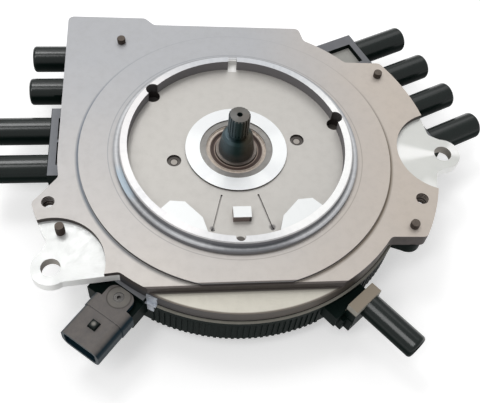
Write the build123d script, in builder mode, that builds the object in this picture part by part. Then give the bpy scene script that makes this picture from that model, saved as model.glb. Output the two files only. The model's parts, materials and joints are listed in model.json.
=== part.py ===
from build123d import *
import os
from math import acos, atan2, cos, degrees, hypot, pi, radians, sin

os.makedirs("parts", exist_ok=True)

# An ignition distributor that bolts to the front of an engine and is turned by a splined shaft.
# Lengths are millimetres and angles are degrees, anticlockwise from +X as seen from the engine.
# The Z axis is the drive shaft's axis, z = 0 is the machined face round the pilot ring, and
# +Z points to the engine. +Y points from the locating lug to the notch in the pilot ring.

# ---------------------------------------------------------------- driving dimensions

# Fits and clearances, all radial or face to face
press_gap = 0.02
screw_gap = 0.1
seat_gap = 0.2
running_gap = 0.35
wheel_clearance = 1.4

# The locating lug, the lobes and the straight cut across the face share one small turn
key_turn = 1.9

# Base housing: the round body, its plate and its machined face
body_radius = 84.2
plate_thickness = 7.3
skirt_depth = 11.8
face_radius = 74.5
face_step = 1.5
face_flat = 71.9
plate_flat = 72.7
segment_width = 96.6
segment_step = 4.0
floor_depth = 0.8
floor_thickness = 5.2
chamber_wall = 13.2

# Base housing: the outline of the plate beyond the round body
corner_reach = (-87.0, 88.5)
corner_width = 40.6
corner_slope = 5.0
top_edge = 83.6
shoulder_reach = 36.8
shoulder_drop = 16.0
shoulder_slope = 4.0
flange_radius = 98.3
flange_top = 59.2
flange_bottom = -48.0
left_flange_start = 198.5
left_flange_slope = 7.0
outline_fillet = 3.0

# Base housing: ears that bolt to the engine, and the two tapped holes beside them
ear_bolt_radius = 103.0
left_ear_angle = 217.4
right_ear_angle = 0.8
ear_tip_radius = 8.7
ear_root_width = 43.0
ear_root_inset = 4.0
ear_hole_radius = 4.3
ear_face_radius = 23.6
ear_face_depth = 4.0
side_hole_circle = 91.1
side_hole_angles = (199.6, -17.3)
side_hole_radius = 3.0

# Base housing: pilot ring and what is cut in it
pilot_base_radius = 58.2
pilot_base_height = 2.0
pilot_radius = 55.4
pilot_bore_radius = 51.7
pilot_height = 5.0
ring_chamfer = 0.5
pilot_notch_width = 4.4
pilot_notch_angle = 90.4
ring_hole_angles = (141.6, 18.3)
ring_hole_radius = 3.3
ring_hole_depth = 4.0
drain_hole_radius = 2.2
drain_hole_circle = 52.2

# Base housing: locating lug, its two grooves and the raised lobes beside them
lug_width = 8.2
lug_depth = 5.8
lug_height = 3.8
lug_circle = 38.0
key_groove_width = 0.8
key_groove_depth = 1.0
key_groove_inner = 26.2
key_groove_length = 19.6
key_half_width = 8.4
key_flare = 15.0
lobe_foot = 15.0
lobe_inner = (18.0, 41.7)
lobe_brow = (25.6, 33.2)
lobe_crest = (32.2, 32.6)
lobe_brink = (36.2, 36.5)
lobe_outer = (41.5, 38.6)
lobe_overlap = 1.0

# Ball bearing, a 15 x 35 x 11 deep-groove size
bearing_bore = 15.0
bearing_outer = 35.0
bearing_width = 11.0
bearing_recess = 0.5
hub_face_radius = 24.4
hub_face_height = 1.0
hub_wall = 5.0
hub_lip_height = 1.3
hub_lip_width = 1.9
race_thickness = 2.35
outer_race_thickness = 3.4
ball_count = 8
ball_radius = 2.85
ball_gap = 0.15
cage_width = 1.8
cage_height = 7.0
shield_thickness = 0.4
shield_recess = 1.4
shield_seat = 0.4
shield_bead = 1.1
shield_rise = 0.5

# Drive shaft
shaft_reach = 24.9
spline_radius = 5.0
spline_root_radius = 4.5
spline_length = 11.0
spline_count = 20
neck_radius = 4.3
neck_length = 2.6
cone_top_radius = 7.2
cone_chamfer = 1.2
collar_radius = 8.5
collar_height = 1.4
shaft_chamfer = 0.5
centre_drill_radius = 1.3
centre_drill_depth = 3.0
snap_ring_thickness = 1.1
snap_ring_width = 1.9
snap_groove_depth = 0.6
snap_ring_gap = 2.4

# Shutter wheel, the hub that carries it and the optical sensor that it passes through
wheel_hub_radius = 12.0
wheel_flange_radius = 16.0
wheel_flange_thickness = 1.5
wheel_radius = 48.0
wheel_thickness = 0.6
clamp_thickness = 1.0
window_count = 8
window_inner = 32.0
window_width = 5.0
window_angle = 20.0
slot_count = 72
slot_inner = 41.5
slot_length = 4.0
slot_width = 1.5
sensor_plate_thickness = 2.0
sensor_plate_radius = 36.0
sensor_screw_circle = 30.5
sensor_screw_angles = (193.8, 11.6)
sensor_screw_radius = 2.0
sensor_screw_head_radius = 3.6
sensor_screw_head_height = 2.4
sensor_sink_radius = 3.4
sensor_sink_depth = 1.2
sensor_angle = -90.0
sensor_width = 20.0
sensor_inner = 29.0
sensor_wall = 6.0
sensor_slot = 2.4
sensor_arm = 4.0

# Dust cover between the sensor chamber and the high-voltage chamber
cover_clearance = 1.2
cover_thickness = 1.5
cover_post_circle = 64.5
cover_post_radius = 4.0
cover_post_angles = (90.0, 210.0, 330.0)
cover_screw_radius = 1.5
cover_screw_reach = 6.0
cover_screw_head_radius = 2.8
cover_screw_head_height = 1.6
cover_edge_gap = 0.4
cover_to_rotor = 1.5

# Rotor
rotor_thickness = 5.0
rotor_radius = 22.0
rotor_arm_radius = 50.0
rotor_arm_width = 17.0
rotor_tail_radius = 31.0
rotor_arm_taper = 4.0
electrode_thickness = 1.0
electrode_width = 8.0
electrode_tip_width = 13.0
electrode_flare = 40.0
spark_gap = 0.7
rotor_screw_circle = 9.7
rotor_screw_reach = 6.0
rotor_screw_radius = 1.5
rotor_screw_head_radius = 2.6
rotor_screw_head_height = 1.6

# Cap
gasket_thickness = 0.5
gasket_width = 9.0
cap_flange_thickness = 3.0
cap_flange_overhang = 1.2
cap_flange_chamfer = 0.6
cap_wall = 3.0
cap_face_thickness = 3.0
cap_rotor_clearance = 3.0
cap_skirt_radius = 84.6
cap_skirt_wall = 3.0
cap_skirt_depth = 30.0
web_count = 24
web_thickness = 2.0
web_setback = 1.0
foot_radius = 63.0
foot_width = 3.0
foot_height = 4.0
spoke_count = 8
spoke_thickness = 2.0

# Cap screws and the lugs that they pass through
screw_circle = 91.0
screw_angles = (129.6, 33.3, 209.6, -27.7)
screw_radius = 2.0
screw_tip_height = 3.0
screw_head_radius = 4.0
screw_head_height = 3.2
screw_head_gap = 0.6
lug_radius = 6.0
lug_flare = 2.5

# Spark towers, in two banks of four, and the coil tower
tower_radius = 6.85
tower_length = 30.0
tower_depth = 16.0
tower_pitch = 23.2
tower_fillet = 1.6
tower_wall = 1.8
tower_recess_depth = 10.0
post_radius = 3.2
coil_post_radius = 2.8
post_root = 8.0
post_setback = 2.0
bank_gap = 0.3
bank_depth = 14.4
bank_margin = 9.0
bank_wall = 3.8
pocket_length = 14.5
pocket_width = 13.5
pocket_depth = 3.0
pocket_shift = 4.0
right_bank_angle = 26.0
right_bank_offset = 5.8
right_bank_face = 98.8
left_bank_angle = 182.0
left_upper_offset = -62.4
left_lower_offset = -12.9
left_upper_face = 72.7
left_lower_face = 90.0
bank_root = 66.0
coil_angle = -48.2
coil_offset = -6.5
coil_tower_radius = 5.8
coil_face = 94.9
coil_tower_length = 27.8
coil_collar_thickness = 5.4
coil_collar_depth = 9.6
coil_collar_width = 16.2
coil_collar_offset = -8.6
coil_block_width = 21.0
coil_block_offset = -12.5
coil_foot_reach = 94.5
coil_foot_width = 16.0
coil_foot_offset = -9.0
coil_foot_top = 20.0
coil_foot_bottom = 29.0
coil_shoulder_reach = 91.5
coil_shoulder_width = 18.5
coil_shoulder_offset = -10.2

# Electrodes in the cap, and the sprung button that feeds the rotor
cap_electrode_circle = 57.0
cap_electrode_radius = 2.4
cap_electrode_overlap = 3.0
cap_electrode_root = 2.0
button_radius = 3.0
button_length = 5.5
button_round = 1.0
button_gap = 0.06
spring_length = 3.0
spring_radius = 2.2
spring_wire_radius = 0.25
spring_turns = 3
button_boss_radius = 8.0

# Connector
connector_angle = -127.0
connector_offset = 2.5
connector_rear = 94.0
connector_length = 22.5
connector_width = 20.5
connector_height = 12.0
connector_depth = 10.0
connector_fillet = 4.0
connector_band_length = 7.0
connector_band_step = 0.3
connector_wall = 1.8
connector_mouth_fillet = 1.6
connector_cavity_depth = 14.0
connector_ear_length = 7.8
connector_ear_width = 13.5
connector_ear_round = 4.0
connector_ear_thickness = 3.0
connector_screw_position = 90.6
connector_screw_radius = 1.5
connector_screw_head_radius = 2.3
connector_screw_head_height = 1.2
connector_screw_sink = 1.4
connector_screw_reach = 4.4
connector_screw_socket = 0.9
connector_neck_width = 15.0
connector_neck_height = 3.2
connector_neck_margin = 0.4
shelf_width = 25.0
shelf_offset = -0.5
shelf_depth = 11.0
shelf_wall = 1.8
latch_position = 106.7
latch_size = 4.2
latch_height = 1.6
latch_slope = 15.0
pin_count = 4
pin_pitch = 3.6
pin_width = 1.5
pin_thickness = 0.8
pin_setback = 7.5
pin_rise = 3.0

# Clip that holds the connector's lead to the rim
clip_angle = -117.0
clip_width = 5.2
clip_stem_width = 3.2
clip_thickness = 0.7
clip_depth = 6.5
clip_stem_length = 5.4

# ---------------------------------------------------------------- heights and radii that follow

plate_face = -face_step
plate_back = plate_face - plate_thickness
segment_face = plate_face - segment_step
floor_face = -floor_depth
floor_back = floor_face - floor_thickness
chamber_radius = body_radius - chamber_wall
skirt_back = -skirt_depth

bearing_radius = bearing_outer / 2
journal_radius = bearing_bore / 2
hub_face = floor_face + hub_face_height
bearing_top = hub_face - bearing_recess
bearing_bottom = bearing_top - bearing_width
bearing_middle = bearing_top - bearing_width / 2
hub_back = bearing_bottom - hub_lip_height
hub_radius = bearing_radius + hub_wall
inner_land_radius = journal_radius + race_thickness
outer_land_radius = bearing_radius - outer_race_thickness
ball_circle = (inner_land_radius + outer_land_radius) / 2
shield_seat_radius = outer_land_radius + shield_seat

neck_base = shaft_reach - spline_length - neck_length
wheel_flange_face = hub_back - running_gap
wheel_face = wheel_flange_face - wheel_flange_thickness
wheel_back = wheel_face - wheel_thickness
clamp_back = wheel_back - clamp_thickness
sensor_plate_back = floor_back - sensor_plate_thickness
sensor_gap_top = wheel_face + (sensor_slot - wheel_thickness) / 2
sensor_gap_bottom = sensor_gap_top - sensor_slot
sensor_back = sensor_gap_bottom - sensor_arm
sensor_reach = wheel_radius + wheel_clearance + sensor_wall
cover_face = sensor_back - cover_clearance
cover_back = cover_face - cover_thickness
rotor_face = cover_back - cover_to_rotor
rotor_back = rotor_face - rotor_thickness
electrode_back = rotor_back - electrode_thickness

cap_top = skirt_back - gasket_thickness
cap_flange_radius = body_radius + cap_flange_overhang
cap_flange_back = cap_top - cap_flange_thickness
cap_bore_radius = chamber_radius - press_gap
cap_drum_radius = cap_bore_radius + cap_wall
cap_roof = electrode_back - cap_rotor_clearance
cap_face = cap_roof - cap_face_thickness
cap_foot = cap_face - foot_height
cap_electrode_face = electrode_back + cap_electrode_overlap
electrode_reach = cap_electrode_circle - cap_electrode_radius - spark_gap

tower_axis = -tower_depth
tower_seat = tower_length - tower_recess_depth
coil_seat_reach = coil_face + coil_tower_length - tower_recess_depth
bank_face = plate_back - bank_gap
bank_back = bank_face - bank_depth

button_face = electrode_back
button_back = button_face - button_length
spring_back = button_back - spring_length

connector_face = -connector_depth
coil_collar_face = -coil_collar_depth
clip_top = -clip_depth
shelf_face = connector_face - connector_ear_thickness
pin_start = cap_bore_radius - cap_wall
pin_bend = connector_rear + pin_rise
connector_front = connector_rear + connector_length
pin_end = connector_front - pin_setback
connector_middle = connector_face - connector_height / 2
neck_middle = connector_face - connector_height + connector_neck_margin + connector_neck_height / 2


def polar(radius, angle):
    """A point in the plan, from its distance to the shaft and its angle."""
    return (radius * cos(radians(angle)), radius * sin(radians(angle)))


def turned(angle, height=0.0):
    """A level plane whose own X axis points along an angle in the plan."""
    return Plane(origin=(0, 0, height), x_dir=(*polar(1, angle), 0), z_dir=(0, 0, 1))


def upright(angle):
    """An upright plane through the shaft's axis, with its own X outwards and its own Y up."""
    return Plane(origin=(0, 0, 0), x_dir=(*polar(1, angle), 0), z_dir=(*polar(1, angle - 90), 0))


def spot(angle, reach, offset, height):
    """A point at a reach along an angle, at a sideways offset and a height."""
    return turned(angle, height).from_local_coords((reach, offset, 0))


def sideways(angle, offset):
    """An upright plane beside the one through the axis, shifted sideways by an offset."""
    corner = spot(angle, 0, offset, 0)
    return Plane(origin=corner, x_dir=(*polar(1, angle), 0), z_dir=(*polar(1, angle - 90), 0))


def facing(angle, reach, offset, height):
    """An upright plane that faces along an angle, at a reach and a sideways offset."""
    centre = spot(angle, reach, offset, height)
    return Plane(origin=centre, x_dir=(0, 0, 1), z_dir=(*polar(1, angle), 0))


# ---------------------------------------------------------------- base housing

corner_distance = hypot(*corner_reach)
corner_angle = degrees(atan2(corner_reach[1], corner_reach[0]))
tangent_angle = corner_angle + degrees(acos(body_radius / corner_distance))
corner_end = corner_reach[0] + corner_width

with BuildSketch() as right_flange:
    Circle(flange_radius)
    with Locations((0, flange_bottom)):
        Rectangle(
            flange_radius,
            flange_top - flange_bottom,
            align=(Align.MIN, Align.MIN),
            mode=Mode.INTERSECT,
        )

with BuildSketch() as left_flange:
    Circle(flange_radius)
    with BuildLine():
        Polyline(
            (0, 0),
            polar(body_radius, left_flange_start - left_flange_slope),
            polar(flange_radius, left_flange_start),
            polar(2 * flange_radius, left_flange_start),
            polar(2 * flange_radius, left_ear_angle),
            close=True,
        )
    make_face(mode=Mode.INTERSECT)

with BuildSketch() as plate_outline:
    Circle(body_radius)
    with Locations((0, top_edge)):
        Rectangle(2 * body_radius, body_radius, align=(Align.CENTER, Align.MIN), mode=Mode.SUBTRACT)
    with BuildLine():
        Polyline(
            corner_reach,
            (corner_end, corner_reach[1]),
            (corner_end + corner_slope, top_edge),
            (shoulder_reach, top_edge),
            (shoulder_reach + shoulder_slope, top_edge - shoulder_drop),
            (0, 0),
            polar(body_radius, tangent_angle),
            close=True,
        )
    make_face()
    add(right_flange.sketch)
    add(left_flange.sketch)
    for angle in (left_ear_angle, right_ear_angle):
        with Locations(polar(ear_bolt_radius, angle)):
            Circle(ear_tip_radius)
        with BuildLine(turned(angle)):
            Polyline(
                (ear_bolt_radius, ear_tip_radius),
                (ear_bolt_radius, -ear_tip_radius),
                (body_radius - ear_root_inset, -ear_root_width / 2),
                (body_radius - ear_root_inset, ear_root_width / 2),
                close=True,
            )
        make_face()
    tangent_point = polar(body_radius, tangent_angle)
    corners = plate_outline.vertices().sort_by_distance(tangent_point)[1:]
    fillet(corners, outline_fillet)

with BuildPart() as base_housing:
    # The plate, the round body's skirt under it and the raised face over it
    with BuildSketch(Plane.XY.offset(plate_back)):
        add(plate_outline.sketch)
    extrude(amount=plate_thickness)
    with BuildSketch(Plane.XY.offset(skirt_back)):
        Circle(body_radius)
    extrude(amount=skirt_depth + plate_back)
    with BuildSketch(Plane.XY.offset(plate_face)):
        Circle(face_radius)
    extrude(amount=face_step)

    # One side of the face and of the plate is cut off straight, over a lower segment
    with BuildSketch(turned(key_turn, plate_face)):
        with Locations((0, -face_flat)):
            Rectangle(2 * face_radius, body_radius, align=(Align.CENTER, Align.MAX))
    extrude(amount=face_step, mode=Mode.SUBTRACT)
    with BuildSketch(turned(key_turn, segment_face)):
        with Locations((0, -plate_flat)):
            Rectangle(segment_width, body_radius, align=(Align.CENTER, Align.MAX))
    extrude(amount=-segment_face, mode=Mode.SUBTRACT)

    # The pilot ring stands on the face in two steps, and the floor inside it is lower
    with BuildSketch():
        Circle(pilot_base_radius)
    extrude(amount=pilot_base_height)
    with BuildSketch(Plane.XY.offset(pilot_base_height)):
        Circle(pilot_radius)
    extrude(amount=pilot_height - pilot_base_height)
    chamfer(base_housing.edges().group_by(Axis.Z)[-1], ring_chamfer)
    with BuildSketch(Plane.XY.offset(floor_face)):
        Circle(pilot_bore_radius)
    extrude(amount=pilot_height - floor_face, mode=Mode.SUBTRACT)

    # The chamber on the far side, and the bearing's hub through the floor
    with BuildSketch(Plane.XY.offset(floor_back)):
        Circle(chamber_radius)
    extrude(amount=skirt_back - floor_back, mode=Mode.SUBTRACT)
    with BuildSketch(Plane.XY.offset(hub_back)):
        Circle(hub_radius)
    extrude(amount=floor_back - hub_back)
    with BuildSketch(Plane.XY.offset(floor_face)):
        Circle(hub_face_radius)
    extrude(amount=hub_face_height)
    with BuildSketch(Plane.XY.offset(bearing_bottom)):
        Circle(bearing_radius)
    extrude(amount=hub_face - bearing_bottom, mode=Mode.SUBTRACT)
    with BuildSketch(Plane.XY.offset(hub_back)):
        Circle(bearing_radius - hub_lip_width)
    extrude(amount=hub_lip_height, mode=Mode.SUBTRACT)

    # Lobes as high as the ring, each side of the locating lug
    with BuildSketch(turned(key_turn, floor_face)):
        with BuildLine():
            lobe_line = (lobe_inner, lobe_brow, lobe_crest, lobe_brink, lobe_outer)
            Polyline(
                (-lobe_foot, -pilot_bore_radius - lobe_overlap),
                *[(-across, -down) for across, down in lobe_line],
                (-lobe_outer[0], -pilot_bore_radius - lobe_overlap),
                close=True,
            )
        make_face()
        Circle(pilot_bore_radius + lobe_overlap, mode=Mode.INTERSECT)
        mirror(about=Plane.YZ)
    extrude(amount=pilot_height - floor_face)

    # The lug and the grooves beside it
    with BuildSketch(turned(key_turn, floor_face)):
        with Locations((0, -lug_circle)):
            Rectangle(lug_width, lug_depth)
    extrude(amount=lug_height)
    with BuildSketch(turned(key_turn, floor_face)):
        for side in (-1, 1):
            groove_start = (side * key_half_width, -key_groove_inner, 0)
            with Locations(Location(groove_start, (0, 0, side * key_flare))):
                Rectangle(key_groove_width, key_groove_length, align=(Align.CENTER, Align.MAX))
                with Locations((0, -key_groove_length)):
                    Circle(key_groove_width)
    extrude(amount=-key_groove_depth, mode=Mode.SUBTRACT)

    # Posts in the chamber for the dust cover
    with BuildSketch(Plane.XY.offset(floor_back)):
        with Locations(*[polar(cover_post_circle, angle) for angle in cover_post_angles]):
            Circle(cover_post_radius)
    extrude(amount=cover_face - floor_back)
    with BuildSketch(Plane.XY.offset(cover_face)):
        with Locations(*[polar(cover_post_circle, angle) for angle in cover_post_angles]):
            Circle(cover_screw_radius + press_gap)
    extrude(amount=cover_screw_reach + screw_gap, mode=Mode.SUBTRACT)

    # Machined faces on the ears, and the holes through them
    for angle in (left_ear_angle, right_ear_angle):
        with BuildSketch(Plane.XY.offset(-ear_face_depth)):
            with Locations(polar(ear_bolt_radius, angle)):
                Circle(ear_face_radius)
        extrude(amount=ear_face_depth, mode=Mode.SUBTRACT)
        with Locations((*polar(ear_bolt_radius, angle), 0)):
            Hole(ear_hole_radius)

    # Tapped holes beside the ears, and holes for the cap screws
    with Locations(*[(*polar(side_hole_circle, angle), plate_face) for angle in side_hole_angles]):
        Hole(side_hole_radius, depth=plate_thickness)
    with Locations(*[(*polar(screw_circle, angle), plate_face) for angle in screw_angles]):
        Hole(screw_radius + press_gap, depth=plate_thickness)

    # Sunk holes in the floor for the ends of the sensor screws
    with BuildSketch(Plane.XY.offset(floor_face)):
        with Locations(*[polar(sensor_screw_circle, angle) for angle in sensor_screw_angles]):
            Circle(sensor_sink_radius)
    extrude(amount=-sensor_sink_depth, mode=Mode.SUBTRACT)
    with BuildSketch(Plane.XY.offset(floor_face)):
        with Locations(*[polar(sensor_screw_circle, angle) for angle in sensor_screw_angles]):
            Circle(sensor_screw_radius + press_gap)
    extrude(amount=-floor_thickness, mode=Mode.SUBTRACT)

    # The notch through the pilot ring, the two holes in its bore and the drain hole in its rim
    with BuildSketch(turned(pilot_notch_angle, floor_face)):
        with Locations(((pilot_bore_radius + pilot_radius) / 2, 0)):
            Rectangle(2 * (pilot_radius - pilot_bore_radius), pilot_notch_width)
        Circle(pilot_radius, mode=Mode.INTERSECT)
    extrude(amount=pilot_height - floor_face, mode=Mode.SUBTRACT)
    with Locations(*[(*polar(pilot_bore_radius, angle), pilot_height) for angle in ring_hole_angles]):
        Hole(ring_hole_radius, depth=pilot_height - floor_face + ring_hole_depth)
    with Locations((*polar(drain_hole_circle, -90), pilot_height)):
        Hole(drain_hole_radius, depth=pilot_height - floor_face)
base_housing.part.label = "base_housing"


# ---------------------------------------------------------------- ball bearing

with BuildPart() as bearing_outer_race:
    with BuildSketch(Plane.XZ):
        with Locations((outer_land_radius, bearing_bottom)):
            Rectangle(
                bearing_radius - press_gap - outer_land_radius,
                bearing_width,
                align=(Align.MIN, Align.MIN),
            )
        with Locations((ball_circle, bearing_middle)):
            Circle(ball_radius + ball_gap, mode=Mode.SUBTRACT)
        for height in (bearing_top - shield_recess / 2, bearing_bottom + shield_recess / 2):
            with Locations((outer_land_radius, height)):
                Rectangle(
                    2 * (shield_seat_radius - outer_land_radius),
                    shield_recess,
                    mode=Mode.SUBTRACT,
                )
    revolve(axis=Axis.Z)
bearing_outer_race.part.label = "bearing_outer_race"

with BuildPart() as bearing_inner_race:
    with BuildSketch(Plane.XZ):
        with Locations((journal_radius + press_gap, bearing_bottom)):
            Rectangle(
                race_thickness - press_gap,
                bearing_width,
                align=(Align.MIN, Align.MIN),
            )
        with Locations((ball_circle, bearing_middle)):
            Circle(ball_radius + ball_gap, mode=Mode.SUBTRACT)
    revolve(axis=Axis.Z)
bearing_inner_race.part.label = "bearing_inner_race"

with BuildPart() as bearing_balls:
    with Locations((0, 0, bearing_middle)):
        with PolarLocations(ball_circle, ball_count):
            Sphere(ball_radius)
bearing_balls.part.label = "bearing_balls"

with BuildPart() as bearing_cage:
    with BuildSketch(Plane.XY.offset(bearing_middle - cage_height / 2)):
        Circle(ball_circle + cage_width / 2)
        Circle(ball_circle - cage_width / 2, mode=Mode.SUBTRACT)
    extrude(amount=cage_height)
    with Locations((0, 0, bearing_middle)):
        with PolarLocations(ball_circle, ball_count):
            Cylinder(ball_radius + press_gap, 2 * cage_width, rotation=(0, 90, 0), mode=Mode.SUBTRACT)
bearing_cage.part.label = "bearing_cage"

# Each shield is a thin ring with a rim in the outer race and one raised bead
shield_lip = inner_land_radius + running_gap
shield_back = bearing_top - shield_recess
shield_rim = shield_seat_radius - press_gap
bead_middle = (shield_lip + shield_rim) / 2
with BuildPart() as bearing_shields:
    with BuildSketch(Plane.XZ):
        with BuildLine():
            Polyline(
                (shield_rim, shield_back),
                (shield_rim, shield_back + shield_rise + shield_thickness),
                (shield_rim - shield_thickness, shield_back + shield_rise + shield_thickness),
                (shield_rim - shield_thickness, shield_back + shield_thickness),
                (bead_middle + shield_bead / 2, shield_back + shield_thickness),
                (bead_middle + shield_bead / 2, shield_back + shield_rise + shield_thickness),
                (bead_middle - shield_bead / 2, shield_back + shield_rise + shield_thickness),
                (bead_middle - shield_bead / 2, shield_back + shield_thickness),
                (shield_lip, shield_back + shield_thickness),
                (shield_lip, shield_back),
                close=True,
            )
        make_face()
    revolve(axis=Axis.Z)
    mirror(about=Plane.XY.offset(bearing_middle))
bearing_shields.part.label = "bearing_shields"


# ---------------------------------------------------------------- drive shaft

with BuildPart() as drive_shaft:
    with BuildSketch(Plane.XZ):
        with BuildLine():
            groove_top = bearing_bottom
            groove_bottom = groove_top - snap_ring_thickness
            Polyline(
                (0, shaft_reach),
                (spline_radius - shaft_chamfer, shaft_reach),
                (spline_radius, shaft_reach - shaft_chamfer),
                (spline_radius, neck_base + neck_length),
                (neck_radius, neck_base + neck_length - (spline_radius - neck_radius)),
                (neck_radius, neck_base),
                (cone_top_radius - cone_chamfer, neck_base),
                (cone_top_radius, neck_base - cone_chamfer),
                (collar_radius, bearing_top + collar_height),
                (collar_radius, bearing_top),
                (journal_radius, bearing_top),
                (journal_radius, groove_top),
                (journal_radius - snap_groove_depth, groove_top),
                (journal_radius - snap_groove_depth, groove_bottom),
                (journal_radius, groove_bottom),
                (journal_radius, rotor_face),
                (0, rotor_face),
                close=True,
            )
        make_face()
    revolve(axis=Axis.Z)
    # Spline grooves along the driven end
    with BuildSketch(Plane.XY.offset(shaft_reach)):
        with PolarLocations(spline_radius, spline_count):
            Rectangle(2 * (spline_radius - spline_root_radius), spline_radius * pi / spline_count)
    extrude(amount=-spline_length, mode=Mode.SUBTRACT)
    # Centre hole in the end
    with Locations((0, 0, shaft_reach)):
        Hole(centre_drill_radius, depth=centre_drill_depth)
drive_shaft.part.label = "drive_shaft"

with BuildPart() as shaft_snap_ring:
    with BuildSketch(Plane.XY.offset(groove_bottom)):
        Circle(journal_radius + snap_ring_width - snap_groove_depth)
        Circle(journal_radius - snap_groove_depth + press_gap, mode=Mode.SUBTRACT)
        with Locations((journal_radius, 0)):
            Rectangle(2 * snap_ring_width, snap_ring_gap, mode=Mode.SUBTRACT)
    extrude(amount=snap_ring_thickness)
shaft_snap_ring.part.label = "shaft_snap_ring"


# ---------------------------------------------------------------- shutter wheel and its hub

with BuildPart() as wheel_hub:
    with BuildSketch(Plane.XY.offset(rotor_face)):
        Circle(wheel_hub_radius)
    extrude(amount=wheel_flange_face - rotor_face)
    with BuildSketch(Plane.XY.offset(wheel_face)):
        Circle(wheel_flange_radius)
    extrude(amount=wheel_flange_thickness)
    with BuildSketch(Plane.XY.offset(rotor_face)):
        Circle(journal_radius + press_gap)
    extrude(amount=wheel_flange_face - rotor_face, mode=Mode.SUBTRACT)
    with BuildSketch(Plane.XY.offset(rotor_face)):
        with Locations((0, rotor_screw_circle), (0, -rotor_screw_circle)):
            Circle(rotor_screw_radius + press_gap)
    extrude(amount=rotor_screw_reach, mode=Mode.SUBTRACT)
wheel_hub.part.label = "wheel_hub"

with BuildPart() as shutter_wheel:
    with BuildSketch(Plane.XY.offset(wheel_back)):
        Circle(wheel_radius)
        Circle(wheel_hub_radius + press_gap, mode=Mode.SUBTRACT)
        # Windows that mark the cylinders
        with PolarLocations(0, window_count):
            with BuildLine():
                window_outer = window_inner + window_width
                inner_arc = CenterArc((0, 0), window_inner, -window_angle / 2, window_angle)
                outer_arc = CenterArc((0, 0), window_outer, -window_angle / 2, window_angle)
                Line(inner_arc @ 0, outer_arc @ 0)
                Line(inner_arc @ 1, outer_arc @ 1)
            make_face(mode=Mode.SUBTRACT)
        # Fine slots that count the degrees
        with PolarLocations(slot_inner + slot_length / 2, slot_count):
            Rectangle(slot_length, slot_width, mode=Mode.SUBTRACT)
    extrude(amount=wheel_thickness)
shutter_wheel.part.label = "shutter_wheel"

with BuildPart() as wheel_clamp_ring:
    with BuildSketch(Plane.XY.offset(clamp_back)):
        Circle(wheel_flange_radius)
        Circle(wheel_hub_radius + press_gap, mode=Mode.SUBTRACT)
    extrude(amount=clamp_thickness)
wheel_clamp_ring.part.label = "wheel_clamp_ring"


# ---------------------------------------------------------------- optical sensor

with BuildPart() as sensor_plate:
    with BuildSketch(Plane.XY.offset(sensor_plate_back)):
        Circle(sensor_plate_radius)
        with BuildLine(turned(sensor_angle)):
            Polyline(
                (0, -sensor_width / 2),
                (sensor_reach, -sensor_width / 2),
                (sensor_reach, sensor_width / 2),
                (0, sensor_width / 2),
                close=True,
            )
        make_face()
        Circle(hub_radius + seat_gap, mode=Mode.SUBTRACT)
        with Locations(*[polar(sensor_screw_circle, angle) for angle in sensor_screw_angles]):
            Circle(sensor_screw_radius + screw_gap, mode=Mode.SUBTRACT)
    extrude(amount=sensor_plate_thickness)
sensor_plate.part.label = "sensor_plate"

with BuildPart() as sensor_screws:
    screw_spots = [polar(sensor_screw_circle, angle) for angle in sensor_screw_angles]
    with Locations(*[(*spot_in_plan, sensor_plate_back) for spot_in_plan in screw_spots]):
        Cylinder(
            sensor_screw_radius,
            floor_face - sensor_sink_depth - sensor_plate_back,
            align=(Align.CENTER, Align.CENTER, Align.MIN),
        )
        Cylinder(
            sensor_screw_head_radius,
            sensor_screw_head_height,
            align=(Align.CENTER, Align.CENTER, Align.MAX),
        )
sensor_screws.part.label = "sensor_screws"

with BuildPart() as optical_sensor:
    with BuildSketch(turned(sensor_angle, sensor_back)):
        with Locations((sensor_inner, 0)):
            Rectangle(sensor_reach - sensor_inner, sensor_width, align=(Align.MIN, Align.CENTER))
    extrude(amount=sensor_plate_back - sensor_back)
    # The slot that the shutter wheel turns in
    with BuildSketch(Plane.XY.offset(sensor_gap_bottom)):
        Circle(sensor_reach - sensor_wall)
    extrude(amount=sensor_slot, mode=Mode.SUBTRACT)
optical_sensor.part.label = "optical_sensor"


# ---------------------------------------------------------------- dust cover

with BuildPart() as dust_cover:
    with BuildSketch(Plane.XY.offset(cover_back)):
        Circle(cap_bore_radius - cover_edge_gap)
        Circle(wheel_hub_radius + wheel_clearance, mode=Mode.SUBTRACT)
        with Locations(*[polar(cover_post_circle, angle) for angle in cover_post_angles]):
            Circle(cover_screw_radius + screw_gap, mode=Mode.SUBTRACT)
    extrude(amount=cover_thickness)
dust_cover.part.label = "dust_cover"

with BuildPart() as dust_cover_screws:
    with Locations(*[(*polar(cover_post_circle, angle), cover_back) for angle in cover_post_angles]):
        Cylinder(
            cover_screw_radius,
            cover_thickness + cover_screw_reach,
            align=(Align.CENTER, Align.CENTER, Align.MIN),
        )
        Cylinder(
            cover_screw_head_radius,
            cover_screw_head_height,
            align=(Align.CENTER, Align.CENTER, Align.MAX),
        )
dust_cover_screws.part.label = "dust_cover_screws"


# ---------------------------------------------------------------- rotor

with BuildPart() as rotor_body:
    with BuildSketch(Plane.XY.offset(rotor_back)):
        Circle(rotor_radius)
        with BuildLine():
            Polyline(
                (0, rotor_arm_width / 2 + rotor_arm_taper),
                (rotor_arm_radius, rotor_arm_width / 2),
                (rotor_arm_radius, -rotor_arm_width / 2),
                (0, -rotor_arm_width / 2 - rotor_arm_taper),
                (-rotor_tail_radius, -rotor_arm_width / 2),
                (-rotor_tail_radius, rotor_arm_width / 2),
                close=True,
            )
        make_face()
        with Locations((0, rotor_screw_circle), (0, -rotor_screw_circle)):
            Circle(rotor_screw_radius + screw_gap, mode=Mode.SUBTRACT)
    extrude(amount=rotor_thickness)
rotor_body.part.label = "rotor_body"

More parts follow.
